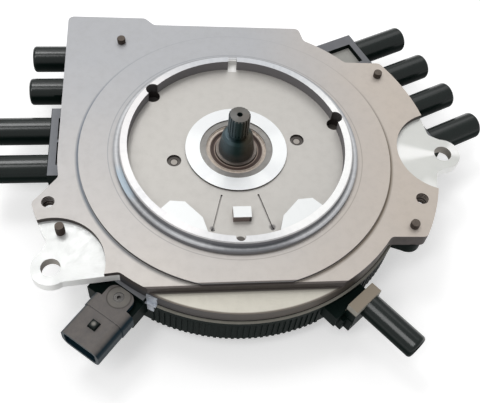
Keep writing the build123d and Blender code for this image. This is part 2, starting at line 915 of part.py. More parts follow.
with BuildPart() as rotor_electrode:
    with BuildSketch(Plane.XY.offset(electrode_back)):
        with BuildLine():
            Polyline(
                (-electrode_width / 2, -electrode_width / 2),
                (electrode_flare, -electrode_width / 2),
                (rotor_arm_radius, -electrode_tip_width / 2),
                (electrode_reach + 1, -electrode_tip_width / 2),
                (electrode_reach + 1, electrode_tip_width / 2),
                (rotor_arm_radius, electrode_tip_width / 2),
                (electrode_flare, electrode_width / 2),
                (-electrode_width / 2, electrode_width / 2),
                close=True,
            )
        make_face()
        Circle(electrode_reach, mode=Mode.INTERSECT)
    extrude(amount=electrode_thickness)
rotor_electrode.part.label = "rotor_electrode"

with BuildPart() as rotor_screws:
    with Locations((0, rotor_screw_circle, rotor_back), (0, -rotor_screw_circle, rotor_back)):
        Cylinder(
            rotor_screw_radius,
            rotor_thickness + rotor_screw_reach - screw_gap,
            align=(Align.CENTER, Align.CENTER, Align.MIN),
        )
        Cylinder(
            rotor_screw_head_radius,
            rotor_screw_head_height,
            align=(Align.CENTER, Align.CENTER, Align.MAX),
        )
rotor_screws.part.label = "rotor_screws"


# ---------------------------------------------------------------- cap



def tower_row(angle, middle, face, count):
    """Each tower of a row: the angle it points, its sideways place and the reach of its bank's face."""
    first = middle - (count - 1) / 2 * tower_pitch
    return [(angle, first + step * tower_pitch, face) for step in range(count)]


right_towers = tower_row(right_bank_angle, right_bank_offset, right_bank_face, 4)
left_lower_towers = tower_row(left_bank_angle, left_lower_offset, left_lower_face, 2)
left_upper_towers = tower_row(left_bank_angle, left_upper_offset, left_upper_face, 2)
spark_towers = right_towers + left_lower_towers + left_upper_towers

with BuildPart() as spark_tower:
    Cylinder(tower_radius, tower_length, align=(Align.CENTER, Align.CENTER, Align.MIN))
    fillet(spark_tower.edges().group_by(Axis.Z)[-1], tower_fillet)

with BuildPart() as coil_tower:
    Cylinder(coil_tower_radius, coil_tower_length, align=(Align.CENTER, Align.CENTER, Align.MIN))
    fillet(coil_tower.edges().group_by(Axis.Z)[-1], tower_fillet)

with BuildPart() as cap:
    # Flange against the gasket, and the drum that closes over the rotor
    with BuildSketch(Plane.XY.offset(cap_flange_back)):
        Circle(cap_flange_radius)
    extrude(amount=cap_flange_thickness)
    chamfer(cap.edges().group_by(Axis.Z)[-1], cap_flange_chamfer)
    with BuildSketch(Plane.XY.offset(cap_face)):
        Circle(cap_drum_radius)
    extrude(amount=cap_flange_back - cap_face)

    # Skirt that hangs from the flange, and the webs that tie it to the drum
    with BuildSketch(Plane.XY.offset(-cap_skirt_depth)):
        Circle(cap_skirt_radius)
        Circle(cap_skirt_radius - cap_skirt_wall, mode=Mode.SUBTRACT)
    extrude(amount=cap_skirt_depth + cap_flange_back)
    with BuildSketch(Plane.XY.offset(web_setback - cap_skirt_depth)):
        with PolarLocations(cap_bore_radius, web_count):
            Rectangle(
                cap_skirt_radius - cap_skirt_wall / 2 - cap_bore_radius,
                web_thickness,
                align=(Align.MIN, Align.CENTER),
            )
    extrude(amount=cap_skirt_depth - web_setback + cap_flange_back)

    # Foot ring and spokes that stiffen the face
    with BuildSketch(Plane.XY.offset(cap_foot)):
        Circle(foot_radius)
        Circle(foot_radius - foot_width, mode=Mode.SUBTRACT)
        with PolarLocations(0, spoke_count):
            Rectangle(foot_radius - foot_width / 2, spoke_thickness, align=(Align.MIN, Align.CENTER))
        Circle(button_boss_radius)
    extrude(amount=foot_height)

    # Banks that carry the spark towers, with a pocket at each end of the lower ones
    with BuildSketch(turned(right_bank_angle, bank_back)):
        with Locations((bank_root, right_bank_offset)):
            Rectangle(
                right_bank_face - bank_root,
                3 * tower_pitch + 2 * bank_margin,
                align=(Align.MIN, Align.CENTER),
            )
    extrude(amount=bank_depth)
    for face, towers in ((left_lower_face, left_lower_towers), (left_upper_face, left_upper_towers)):
        with BuildSketch(turned(left_bank_angle, bank_back)):
            with Locations((face, (towers[0][1] + towers[1][1]) / 2)):
                Rectangle(
                    face - bank_root + bank_wall,
                    tower_pitch + 2 * bank_margin,
                    align=(Align.MAX, Align.CENTER),
                )
        extrude(amount=bank_depth)
    for bank in (right_towers, left_lower_towers):
        for (angle, offset, face), inward in ((bank[0], pocket_shift), (bank[-1], -pocket_shift)):
            with BuildSketch(turned(angle, bank_face)):
                with Locations((face - bank_wall, offset + inward)):
                    Rectangle(pocket_length, pocket_width, align=(Align.MAX, Align.CENTER))
            extrude(amount=-pocket_depth, mode=Mode.SUBTRACT)

    # Lugs for the cap screws
    for angle in screw_angles:
        with BuildSketch(Plane.XY.offset(cap_flange_back)):
            with Locations(polar(screw_circle, angle)):
                Circle(lug_radius)
            with BuildLine(turned(angle)):
                Polyline(
                    (screw_circle, lug_radius),
                    (screw_circle, -lug_radius),
                    (cap_drum_radius, -lug_radius - lug_flare),
                    (cap_drum_radius, lug_radius + lug_flare),
                    close=True,
                )
            make_face()
        extrude(amount=plate_back - cap_flange_back)

    with BuildSketch(Plane.XY.offset(cap_top)):
        Circle(body_radius + seat_gap)
    extrude(amount=plate_back - cap_top, mode=Mode.SUBTRACT)

    with BuildSketch(Plane.XY.offset(bank_back)):
        with Locations(*[polar(screw_circle, angle) for angle in screw_angles]):
            Circle(screw_head_radius + screw_head_gap)
    extrude(amount=cap_flange_back - bank_back, mode=Mode.SUBTRACT)

    # Block and collar at the root of the coil tower, and the shelf and wall behind the connector
    with BuildSketch(turned(coil_angle, bank_back)):
        with Locations((bank_root, coil_block_offset)):
            Rectangle(
                coil_face - coil_collar_thickness - bank_root,
                coil_block_width,
                align=(Align.MIN, Align.CENTER),
            )
    extrude(amount=cap_flange_back - bank_back)
    with BuildSketch(turned(coil_angle, bank_back)):
        with Locations((coil_face, coil_collar_offset)):
            Rectangle(coil_collar_thickness, coil_collar_width, align=(Align.MAX, Align.CENTER))
    extrude(amount=coil_collar_face - bank_back)
    with BuildSketch(turned(coil_angle, -coil_foot_bottom)):
        with Locations((bank_root, coil_foot_offset)):
            Rectangle(
                coil_foot_reach - bank_root,
                coil_foot_width,
                align=(Align.MIN, Align.CENTER),
            )
        with Locations((bank_root, coil_shoulder_offset)):
            Rectangle(
                coil_shoulder_reach - bank_root,
                coil_shoulder_width,
                align=(Align.MIN, Align.CENTER),
            )
    extrude(amount=coil_foot_bottom - coil_foot_top)
    with BuildSketch(turned(connector_angle, shelf_face - shelf_depth)):
        with Locations((bank_root, shelf_offset)):
            Rectangle(
                connector_rear - seat_gap - bank_root,
                shelf_width,
                align=(Align.MIN, Align.CENTER),
            )
    extrude(amount=shelf_depth)
    with BuildSketch(turned(connector_angle, shelf_face)):
        with Locations((body_radius + shelf_wall, shelf_offset)):
            Rectangle(2 * shelf_wall, shelf_width, align=(Align.MAX, Align.CENTER))
        Circle(body_radius + seat_gap, mode=Mode.SUBTRACT)
    extrude(amount=bank_face - shelf_face)

    # The chamber that the rotor turns in
    with BuildSketch(Plane.XY.offset(cap_roof)):
        Circle(cap_bore_radius)
    extrude(amount=cap_top - cap_roof, mode=Mode.SUBTRACT)

    # Towers, each with a recess round its terminal post, and the hollows behind them
    with Locations(*[facing(angle, face, offset, tower_axis) for angle, offset, face in spark_towers]):
        add(spark_tower.part)
    with Locations(facing(coil_angle, coil_face, coil_offset, tower_axis)):
        add(coil_tower.part)
    for angle, offset, face in spark_towers:
        with BuildSketch(facing(angle, face + tower_seat, offset, tower_axis)):
            Circle(tower_radius - tower_wall)
        extrude(amount=tower_recess_depth, mode=Mode.SUBTRACT)
        with BuildSketch(facing(angle, face + tower_seat, offset, tower_axis)):
            Circle(post_radius + press_gap)
        extrude(amount=-post_root, mode=Mode.SUBTRACT)
    with BuildSketch(facing(coil_angle, coil_seat_reach, coil_offset, tower_axis)):
        Circle(coil_tower_radius - tower_wall)
    extrude(amount=tower_recess_depth, mode=Mode.SUBTRACT)
    with BuildSketch(facing(coil_angle, coil_seat_reach, coil_offset, tower_axis)):
        Circle(coil_post_radius + press_gap)
    extrude(amount=-post_root, mode=Mode.SUBTRACT)

    # Tunnel for the connector's neck, and the holes for screws, electrodes and the sprung button
    with BuildSketch(facing(connector_angle, connector_rear, connector_offset, neck_middle)):
        Rectangle(connector_neck_height + 2 * seat_gap, connector_neck_width + 2 * seat_gap)
    extrude(amount=-(connector_rear - cap_bore_radius + cap_wall), mode=Mode.SUBTRACT)
    with Locations(*[(*polar(screw_circle, angle), plate_back) for angle in screw_angles]):
        Hole(screw_radius + screw_gap)
    with BuildSketch(turned(connector_angle, shelf_face)):
        with Locations((connector_screw_position, connector_offset)):
            Circle(connector_screw_radius + press_gap)
    extrude(amount=-connector_screw_reach, mode=Mode.SUBTRACT)
    with BuildSketch(Plane.XY.offset(cap_roof)):
        with PolarLocations(cap_electrode_circle, spoke_count):
            Circle(cap_electrode_radius + press_gap)
    extrude(amount=-cap_electrode_root, mode=Mode.SUBTRACT)
    with BuildSketch(Plane.XY.offset(spring_back)):
        Circle(button_radius + button_gap)
    extrude(amount=cap_roof - spring_back, mode=Mode.SUBTRACT)
cap.part.label = "cap"

with BuildPart() as cap_gasket:
    with BuildSketch(Plane.XY.offset(cap_top)):
        Circle(body_radius)
        Circle(body_radius - gasket_width, mode=Mode.SUBTRACT)
    extrude(amount=gasket_thickness)
cap_gasket.part.label = "cap_gasket"

with BuildPart() as cap_screws:
    with Locations(*[(*polar(screw_circle, angle), cap_flange_back) for angle in screw_angles]):
        Cylinder(
            screw_radius,
            plate_face + screw_tip_height - cap_flange_back,
            align=(Align.CENTER, Align.CENTER, Align.MIN),
        )
        Cylinder(
            screw_head_radius,
            screw_head_height,
            align=(Align.CENTER, Align.CENTER, Align.MAX),
        )
cap_screws.part.label = "cap_screws"


# ---------------------------------------------------------------- high-voltage contacts

with BuildPart() as cap_electrodes:
    with BuildSketch(Plane.XY.offset(cap_electrode_face)):
        with PolarLocations(cap_electrode_circle, spoke_count):
            Circle(cap_electrode_radius)
    extrude(amount=cap_roof - cap_electrode_root - cap_electrode_face)
cap_electrodes.part.label = "cap_electrodes"

with BuildPart() as spark_terminals:
    for angle, offset, face in spark_towers:
        with BuildSketch(facing(angle, face + tower_seat - post_root, offset, tower_axis)):
            Circle(post_radius)
        extrude(amount=post_root + tower_recess_depth - post_setback)
spark_terminals.part.label = "spark_terminals"

with BuildPart() as coil_terminal:
    with BuildSketch(facing(coil_angle, coil_seat_reach - post_root, coil_offset, tower_axis)):
        Circle(coil_post_radius)
    extrude(amount=post_root + tower_recess_depth - post_setback)
coil_terminal.part.label = "coil_terminal"

with BuildPart() as contact_button:
    with BuildSketch(Plane.XY.offset(button_back)):
        Circle(button_radius)
    extrude(amount=button_length)
    fillet(contact_button.edges().group_by(Axis.Z)[-1], button_round)
contact_button.part.label = "contact_button"

with BuildPart() as button_spring:
    with BuildLine():
        spring_path = Helix(
            pitch=(spring_length - 2 * spring_wire_radius) / spring_turns,
            height=spring_length - 2 * spring_wire_radius,
            radius=spring_radius,
            center=(0, 0, spring_back + spring_wire_radius),
        )
    with BuildSketch(Plane(origin=spring_path @ 0, z_dir=spring_path % 0)):
        Circle(spring_wire_radius)
    sweep(is_frenet=True)
button_spring.part.label = "button_spring"


# ---------------------------------------------------------------- connector

pin_offsets = [connector_offset + (pin - (pin_count - 1) / 2) * pin_pitch for pin in range(pin_count)]


def pin_blades(offsets, gap):
    """Bent blades from the sensor chamber up through the neck and out into the connector's mouth."""
    with BuildPart(mode=Mode.PRIVATE) as blades:
        for offset in offsets:
            with BuildSketch(sideways(connector_angle, offset)):
                with BuildLine():
                    half = pin_thickness / 2 + gap
                    Polyline(
                        (pin_start, neck_middle - half),
                        (pin_bend + half, neck_middle - half),
                        (pin_bend + half, connector_middle - half),
                        (pin_end + gap, connector_middle - half),
                        (pin_end + gap, connector_middle + half),
                        (pin_bend - half, connector_middle + half),
                        (pin_bend - half, neck_middle + half),
                        (pin_start, neck_middle + half),
                        close=True,
                    )
                make_face()
            extrude(amount=pin_width / 2 + gap, both=True)
    return blades.part


with BuildPart() as connector_housing:
    # The shell with a thicker band at its root, and its mouth
    with BuildSketch(facing(connector_angle, connector_rear, connector_offset, connector_middle)):
        RectangleRounded(connector_height, connector_width, connector_fillet)
    extrude(amount=connector_length)
    with BuildSketch(facing(connector_angle, connector_rear, connector_offset, connector_middle)):
        RectangleRounded(
            connector_height + 2 * connector_band_step,
            connector_width + 2 * connector_band_step,
            connector_fillet,
        )
    extrude(amount=connector_band_length)
    with BuildSketch(facing(connector_angle, connector_front, connector_offset, connector_middle)):
        RectangleRounded(
            connector_height - 2 * connector_wall,
            connector_width - 2 * connector_wall,
            connector_mouth_fillet,
        )
    extrude(amount=-connector_cavity_depth, mode=Mode.SUBTRACT)

    # The ear that lies on the shelf, and the neck through the cap's wall
    with BuildSketch(turned(connector_angle, shelf_face)) as connector_ear:
        with Locations((connector_rear, connector_offset)):
            Rectangle(connector_ear_length, connector_ear_width, align=(Align.MAX, Align.CENTER))
        ear_corners = connector_ear.vertices().sort_by_distance((0, 0, shelf_face))[:2]
        fillet(ear_corners, connector_ear_round)
        with Locations((connector_screw_position, connector_offset)):
            Circle(connector_screw_radius + screw_gap, mode=Mode.SUBTRACT)
    extrude(amount=connector_ear_thickness)
    with BuildSketch(turned(connector_angle, connector_face)):
        with Locations((connector_screw_position, connector_offset)):
            Circle(connector_screw_head_radius + screw_gap)
    extrude(amount=-connector_screw_sink, mode=Mode.SUBTRACT)
    with BuildSketch(facing(connector_angle, connector_rear, connector_offset, neck_middle)):
        Rectangle(connector_neck_height, connector_neck_width)
    extrude(amount=-(connector_rear - cap_bore_radius))

    # Latch ramp on the shell
    with BuildSketch(turned(connector_angle, connector_face)):
        with Locations((latch_position, connector_offset)):
            Rectangle(latch_size, latch_size)
    extrude(amount=latch_height, taper=latch_slope)

    # Slots that the pins are held in
    add(pin_blades(pin_offsets, press_gap), mode=Mode.SUBTRACT)
connector_housing.part.label = "connector_housing"

with BuildPart() as connector_pins:
    add(pin_blades(pin_offsets, 0))
connector_pins.part.label = "connector_pins"

connector_screw_seat = connector_face - connector_screw_sink
connector_screw_top = connector_screw_seat + connector_screw_head_height
connector_screw_place = (connector_angle, connector_screw_position, connector_offset)
with BuildPart() as connector_screw:
    with Locations(spot(*connector_screw_place, connector_screw_seat)):
        Cylinder(
            connector_screw_head_radius,
            connector_screw_head_height,
            align=(Align.CENTER, Align.CENTER, Align.MIN),
        )
        Cylinder(
            connector_screw_radius,
            connector_screw_seat - shelf_face + connector_screw_reach - screw_gap,
            align=(Align.CENTER, Align.CENTER, Align.MAX),
        )
    with Locations(spot(*connector_screw_place, connector_screw_top)):
        Hole(connector_screw_socket, depth=connector_screw_head_height)
connector_screw.part.label = "connector_screw"


# ---------------------------------------------------------------- clip for the connector's lead

clip_inner = body_radius + press_gap
clip_outer = cap_flange_radius + press_gap
with BuildPart() as lead_clip:
    with BuildSketch(upright(clip_angle)):
        with BuildLine():
            Polyline(
                (clip_inner, clip_top),
                (clip_inner + clip_thickness, clip_top),
                (clip_inner + clip_thickness, cap_top + clip_thickness),
                (clip_outer + clip_thickness, cap_top + clip_thickness),
                (clip_outer + clip_thickness, cap_top),
                (clip_inner, cap_top),
                close=True,
            )
        make_face()
    extrude(amount=clip_width / 2, both=True)
    with BuildSketch(upright(clip_angle)):
        with Locations((clip_outer, cap_top + clip_thickness)):
            Rectangle(clip_thickness, clip_stem_length, align=(Align.MIN, Align.MAX))
    extrude(amount=clip_stem_width / 2, both=True)
lead_clip.part.label = "lead_clip"


# ---------------------------------------------------------------- files

for piece in (
    base_housing,
    drive_shaft,
    bearing_outer_race,
    bearing_inner_race,
    bearing_balls,
    bearing_cage,
    bearing_shields,
    shaft_snap_ring,
    wheel_hub,
    shutter_wheel,
    wheel_clamp_ring,
    sensor_plate,
    sensor_screws,
    optical_sensor,
    dust_cover,
    dust_cover_screws,
    rotor_body,
    rotor_electrode,
    rotor_screws,
    cap,
    cap_gasket,
    cap_screws,
    cap_electrodes,
    spark_terminals,
    coil_terminal,
    contact_button,
    button_spring,
    connector_housing,
    connector_pins,
    connector_screw,
    lead_clip,
):
    export_step(piece.part, f"parts/{piece.part.label}.step")
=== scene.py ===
# %% [markdown]
# # An ignition distributor, dressed for its picture
# The distributor sits at the front of an engine. A splined shaft turns a rotor under a black cap,
# and the rotor hands each spark plug its spark. The solid parts come in ready made, in metres, and
# each already stands in its place. What is left to make is what the eye reads as metal, plastic,
# rubber and carbon, the fine teeth and threads, and a small photo studio.

# %% Load the parts
import json
from math import cos, pi, radians, sin

import bpy
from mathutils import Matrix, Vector


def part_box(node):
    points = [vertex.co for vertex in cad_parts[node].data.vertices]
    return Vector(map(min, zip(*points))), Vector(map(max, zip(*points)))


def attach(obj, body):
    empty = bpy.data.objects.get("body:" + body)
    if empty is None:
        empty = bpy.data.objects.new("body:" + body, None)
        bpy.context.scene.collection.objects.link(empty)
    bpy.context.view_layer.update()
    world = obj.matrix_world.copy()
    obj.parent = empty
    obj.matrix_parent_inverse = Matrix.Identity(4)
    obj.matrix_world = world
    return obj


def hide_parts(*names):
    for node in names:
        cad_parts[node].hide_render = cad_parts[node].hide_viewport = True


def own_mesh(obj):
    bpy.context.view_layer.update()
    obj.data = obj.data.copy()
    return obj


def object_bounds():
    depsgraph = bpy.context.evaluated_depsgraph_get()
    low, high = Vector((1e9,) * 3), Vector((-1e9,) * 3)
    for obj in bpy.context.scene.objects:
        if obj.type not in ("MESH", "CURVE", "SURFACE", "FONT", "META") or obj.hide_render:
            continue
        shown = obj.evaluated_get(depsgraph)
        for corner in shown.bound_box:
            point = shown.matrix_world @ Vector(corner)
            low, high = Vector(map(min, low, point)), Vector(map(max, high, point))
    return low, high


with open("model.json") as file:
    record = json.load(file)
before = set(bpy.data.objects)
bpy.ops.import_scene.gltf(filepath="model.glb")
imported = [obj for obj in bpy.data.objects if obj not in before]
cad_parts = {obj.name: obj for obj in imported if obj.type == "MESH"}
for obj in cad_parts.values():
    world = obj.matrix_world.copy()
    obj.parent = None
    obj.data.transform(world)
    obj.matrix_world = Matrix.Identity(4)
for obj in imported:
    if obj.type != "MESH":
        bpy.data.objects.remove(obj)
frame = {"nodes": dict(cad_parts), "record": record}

solid_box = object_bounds()
parts = frame["nodes"]

# %% [markdown]
# # Sums that are written as sums
# A procedural finish is a long sum: how far a point is from the shaft, whether it lies on the ring,
# how much grain it gets. Wiring each Math node by hand hides that sum. A small class that wraps a
# socket and overloads the operators lets the sum be read in one line, and adds the nodes by itself.

# %% Numbers, colours and directions that stand in a sum
class Value:
    """A socket of a node tree that can stand in an ordinary sum."""

    def __init__(self, graph, socket):
        self.graph = graph
        self.socket = socket

    def math(self, operation, *others, clamp=False):
        settings = {"operation": operation, "use_clamp": clamp}
        return self.graph.add("ShaderNodeMath", settings, dict(enumerate((self, *others))))

    def __add__(self, other):
        return self.math("ADD", other)

    __radd__ = __add__

    def __sub__(self, other):
        return self.math("SUBTRACT", other)

    def __rsub__(self, other):
        return self.graph.add("ShaderNodeMath", {"operation": "SUBTRACT"}, {0: other, 1: self})

    def __mul__(self, other):
        return self.math("MULTIPLY", other)

    __rmul__ = __mul__

    def __truediv__(self, other):
        return self.math("DIVIDE", other)

    def smaller(self, other):
        return self.math("MINIMUM", other)

    def larger(self, other):
        return self.math("MAXIMUM", other)

    def share(self):
        """The same number, kept between 0 and 1."""
        return self.math("ADD", 0.0, clamp=True)

    def past(self, edge, soft=0.05):
        """0 before an edge and 1 after it, with a soft change between."""
        sockets = {"Value": self, "From Min": edge - soft, "From Max": edge + soft}
        return self.graph.add("ShaderNodeMapRange", {"interpolation_type": "SMOOTHSTEP"}, sockets)

    def between(self, low, high, soft=0.05):
        """1 between two edges and 0 outside them."""
        return self.past(low, soft) * (1 - self.past(high, soft))

    def near(self, middle, reach):
        """1 at a number, fading to 0 at a reach on either side of it."""
        return 1 - ((self - middle).math("ABSOLUTE") / reach).share()


def paint(red, green, blue):
    """A colour given as it looks on a screen, from 0 to 255, turned into what a shader wants."""
    levels = [channel / 255 for channel in (red, green, blue)]
    linear = [level / 12.92 if level < 0.04045 else ((level + 0.055) / 1.055) ** 2.4
              for level in levels]
    return (*linear, 1.0)


print("mid grey in a shader:", [round(level, 3) for level in paint(128, 128, 128)[:3]])

# %% [markdown]
# # One way to add a node
# Materials and Geometry Nodes are both trees of nodes, so one class serves both. Every node is added
# by the same method: its type, then its settings, then its sockets. A number goes into a socket as
# its value and a Value goes in as a link.

# %% The tree that every recipe grows on
class Graph:
    """A node tree with one method that adds any node."""

    def __init__(self, tree):
        self.tree = tree

    def add(self, kind, settings=None, sockets=None, output=0):
        """Adds one node, sets it up, fills its sockets, and gives back one of its outputs."""
        node = self.tree.nodes.new(kind)
        for name, setting in (settings or {}).items():
            if name == "stops":
                while len(node.color_ramp.elements) < len(setting):
                    node.color_ramp.elements.new(0.5)
                for element, (position, colour) in zip(node.color_ramp.elements, setting):
                    element.position = position
                    element.color = colour
            else:
                setattr(node, name, setting)
        for name, content in (sockets or {}).items():
            self.fill(node.inputs[name], content)
        return Value(self, node.outputs[output])

    def fill(self, socket, content):
        """Puts a number, a colour or a link into a socket."""
        if isinstance(content, Value):
            self.tree.links.new(content.socket, socket)
        else:
            socket.default_value = content

    def axes(self, vector):
        """The three numbers of a direction or a place."""
        split = self.add("ShaderNodeSeparateXYZ", None, {0: vector}).socket.node
        return [Value(self, output) for output in split.outputs]


print("a tree can", ", ".join(name for name in vars(Graph) if not name.startswith("_")))

# %% [markdown]
# # A finish is a material that knows where it is
# The place of a point is read in millimetres from the object's own coordinates. A pattern made from
# it stays where it is on the part when the part turns, and needs no unwrapping. Masks such as "level
# and above 4 mm" then pick out one machined face of a casting that is a single mesh.

# %% The finish class
class Finish(Graph):
    """One material: its Principled shader, and the measures that its patterns are made from."""

    def __init__(self, name, **levels):
        self.material = bpy.data.materials.new(name)
        self.material.use_nodes = True
        super().__init__(self.material.node_tree)
        self.shader = self.tree.nodes["Principled BSDF"]
        names = {"specular": "Specular IOR Level", "coat_roughness": "Coat Roughness"}
        for level, amount in levels.items():
            self.shader.inputs[names.get(level, level.title())].default_value = amount

    def feed(self, **contents):
        """Feeds the shader's own sockets."""
        for name, content in contents.items():
            self.fill(self.shader.inputs[name.replace("_", " ").title()], content)

    def place(self):
        """Where a point is on the part, in millimetres."""
        spot = self.add("ShaderNodeTexCoord", output=3)
        return self.add("ShaderNodeVectorMath", {"operation": "SCALE"}, {0: spot, "Scale": 1000.0})

    def facing_up(self):
        """1 on a face that looks up the shaft, 0 on a wall and -1 on a face that looks down."""
        return self.axes(self.add("ShaderNodeTexCoord", output=1))[2]

    def distance(self, spot, centre=(0, 0)):
        """How far a place is from a vertical axis through a centre."""
        x, y, _ = self.axes(spot)
        flat = self.add("ShaderNodeCombineXYZ", None, {0: x - centre[0], 1: y - centre[1]})
        return self.add("ShaderNodeVectorMath", {"operation": "LENGTH"}, {0: flat}, output=1)

    def nearest(self, spot, first, second):
        """How far a place is from the nearer of two vertical axes."""
        return self.distance(spot, first).smaller(self.distance(spot, second))

    def turn(self, spot, centre=(0, 0)):
        """The angle of a place round a vertical axis through a centre, in radians."""
        x, y, _ = self.axes(spot)
        return (y - centre[1]).math("ARCTAN2", x - centre[0])

    def sector(self, turn, middle, reach):
        """1 in the middle of a sector round a centre, fading to 0 at its ends, in degrees."""
        edge = cos(radians(reach))
        return (turn - radians(middle)).math("COSINE").past((1 + edge) / 2, (1 - edge) / 2)

    def grain(self, spot, size, detail=4.0, roughness=0.5):
        """Noise between 0 and 1 whose lumps are about one size across, in millimetres."""
        sockets = {"Vector": spot, "Scale": 1.0 / size, "Detail": detail, "Roughness": roughness}
        return self.add("ShaderNodeTexNoise", None, sockets)

    def mix(self, share, first, second):
        """The first colour where the share is 0 and the second where it is 1."""
        settings = {"data_type": "RGBA"}
        return self.add("ShaderNodeMix", settings, {0: share, 6: first, 7: second}, output=2)

    def bump(self, height, depth):
        """A surface that rises with a height between 0 and 1, by a depth in millimetres."""
        return self.add("ShaderNodeBump", None, {"Height": height, "Distance": depth / 1000})


def dress(finish, *names):
    """Gives a finish to parts by name."""
    for name in names:
        for slot in parts[name].material_slots:
            slot.material = finish.material
    print(finish.material.name, "on", ", ".join(names))


print("a finish can", ", ".join(name for name in vars(Finish) if not name.startswith("_")))

# %% [markdown]
# # The base housing: one casting, many cuts
# The housing is cast aluminium that was then turned and milled, so each face has its own tool marks.
# Turned faces carry fine rings round the shaft, the ears carry rings round their bolt holes, and the
# walls keep the dull skin of the casting, painted darker as painted shade. All of that sits on one
# mesh, so the finish asks each point how high it is, how far from the shaft and whether it is a wall,
# and blends with those masks.

# %% Where each cut lies, in millimetres
ring_bore = 51.7
ring_rim = 55.4
ledge_rim = 58.2
hub_rim = 24.5
hub_bore = 17.4
disc_rim = 74.5
step_foot = 75.1
ledge_foot = 58.3
scribed = (60.7, 61.1)
body_rim = 84.4
ear_cut = 23.7
chord_turn = radians(1.9)
chord_start, chord_end = 71.7, 73.0
sink_reach, ear_reach, side_hole_reach = 30.5, 103.0, 91.1
side_hole_angles = (199.6, -17.3)
# The heights that a level face lies between, the reach of each hole, and the sides and the ends of
# the small blocks.
ledge_band, lug_band, plate_band = (1.6, 2.4), (2.0, 4.1), (-2.0, -1.0)
ear_band, segment_band, skirt_band = (-4.4, -3.6), (-5.9, -5.1), (-12.2, -5.4)
sink_size, hole_size, drain_size, tapped_size, bolt_size = 3.6, 3.5, 2.4, 3.3, 4.6
lug_sides, lug_ends = (-4.5, 4.5), (-41.3, -34.7)
notch_sides, notch_ends = (-2.6, 1.8), (50.0, 55.8)


def plan(radius, angle):
    """A point from its distance to the shaft and its angle, seen from above."""
    return (radius * cos(radians(angle)), radius * sin(radians(angle)))


def along(x, y, way):
    """How far a place lies from the shaft in one direction."""
    return x * way[0] + y * way[1]


# Where the ears, the holes and the ends of the key's grooves lie.
left_ear, right_ear = plan(ear_reach, 217.4), plan(ear_reach, 0.8)
sinks = [plan(sink_reach, 193.8), plan(sink_reach, 11.6)]
ring_holes = [plan(ring_bore, 141.6), plan(ring_bore, 18.3)]
drain, drain_foot = plan(52.2, -90.0), plan(51.1, -89.8)
groove_ends = [plan(46.2, -105.3), plan(46.1, -71.2)]
tapped = [plan(side_hole_reach, angle) for angle in side_hole_angles]
print("ears at", [tuple(round(number, 1) for number in ear) for ear in (left_ear, right_ear)])

# %% A mask for each face
casting = Finish("cast_and_machined_aluminium", metallic=0.45)
spot = casting.place()
x, y, height = casting.axes(spot)
radius = casting.distance(spot)
turn = casting.turn(spot)
level = casting.facing_up().past(0.6, 0.25)
inside = 1 - radius.past(ring_bore)
above_floor = height.past(-0.4, 0.2)
below_ring_top = 1 - height.past(4.6, 0.2)
ring_top = level * radius.between(ring_bore - 0.3, ring_rim) * height.past(4.3, 0.3)
ledge = level * radius.between(ring_rim - 0.5, ledge_rim + 0.2) * height.between(*ledge_band)
lobes = level * inside * height.past(4.2, 0.3)
lug_top = level * (1 - radius.past(45.0)) * height.between(*lug_band, 0.2)
hub_ring = level * radius.between(hub_bore, hub_rim) * above_floor
floor = level * inside * (1 - above_floor)
disc = level * radius.between(ledge_rim, disc_rim) * height.past(-0.5, 0.2)
to_left, to_right = casting.distance(spot, left_ear), casting.distance(spot, right_ear)
to_ear = to_left.smaller(to_right)
ear_level = level * height.between(*ear_band, 0.1)
left_face = ear_level * (1 - to_left.past(ear_cut))
right_face = ear_level * (1 - to_right.past(ear_cut))
segment = level * height.between(*segment_band, 0.1)
print("nodes for the masks of the faces:", len(casting.tree.nodes))

# %% [markdown]
# # Colour of the casting
# Bare aluminium is never one grey. The plate is painted darker and cooler at the back and paler at the
# front, painted shade, and warmer at the right, with faint stains, while the turned ring, the lobes
# and the milled ears are almost white. A turned face also shines in sectors, as a saucepan's lid does,
# and here these glints are painted into the colour as painted highlights and painted shade. Walls keep
# the grain of the skin from the mould and are painted darker, painted shade, and a line of painted
# shade lies at the foot of each step.

# %% Greys of the level faces
shaded_back_plate = paint(185, 186, 189)
lit_front_plate = paint(206, 200, 194)
warm_plate = paint(203, 193, 183)
# From 0 at the back left to 1 at the front right, and from 0 at the back to 1 at the front.
sides = (x - y * 0.6 + 60.0) / 140.0
downwards = (50.0 - y) / 130.0
stains = casting.grain(spot, 30.0, 2.0, 0.5)
cloud = casting.grain(spot, 4.0, 6.0, 0.65)
freckles = casting.grain(spot, 1.1, 4.0, 0.7)
# The plate is painted darker and cooler towards the back and paler towards the front: painted shade.
plate = casting.mix((downwards + (stains - 0.5) * 0.3).share(), shaded_back_plate, lit_front_plate)
plate = casting.mix(((x - 10.0) / 70.0 + (stains - 0.5) * 0.3).share(), plate, warm_plate)
plate = casting.mix(floor, plate, paint(203, 200, 195))
plate = casting.mix(segment, plate, paint(212, 208, 196))
dirt = (cloud - 0.45).larger(0.0) * 0.3 + (freckles - 0.64).larger(0.0) * 1.2
plate = casting.mix(dirt.share(), plate, paint(140, 136, 131))
print("nodes for the greys of the plate:", len(casting.tree.nodes))

# %% Near-white cuts and their painted glints
def painted_glints(turn, sectors):
    """Painted highlights: the strongest of some sectors, each with its middle and its reach in
    degrees.
    """
    shine = casting.sector(turn, *sectors[0])
    for middle, reach in sectors[1:]:
        shine = shine.larger(casting.sector(turn, middle, reach))
    return shine


def brushed(reach, turn, streaks):
    """Streaks that run round an axis, from the distance to it and the angle round it."""
    way = casting.add("ShaderNodeCombineXYZ", None, {0: reach * 0.2, 1: turn * streaks})
    return casting.grain(way, 1.0)


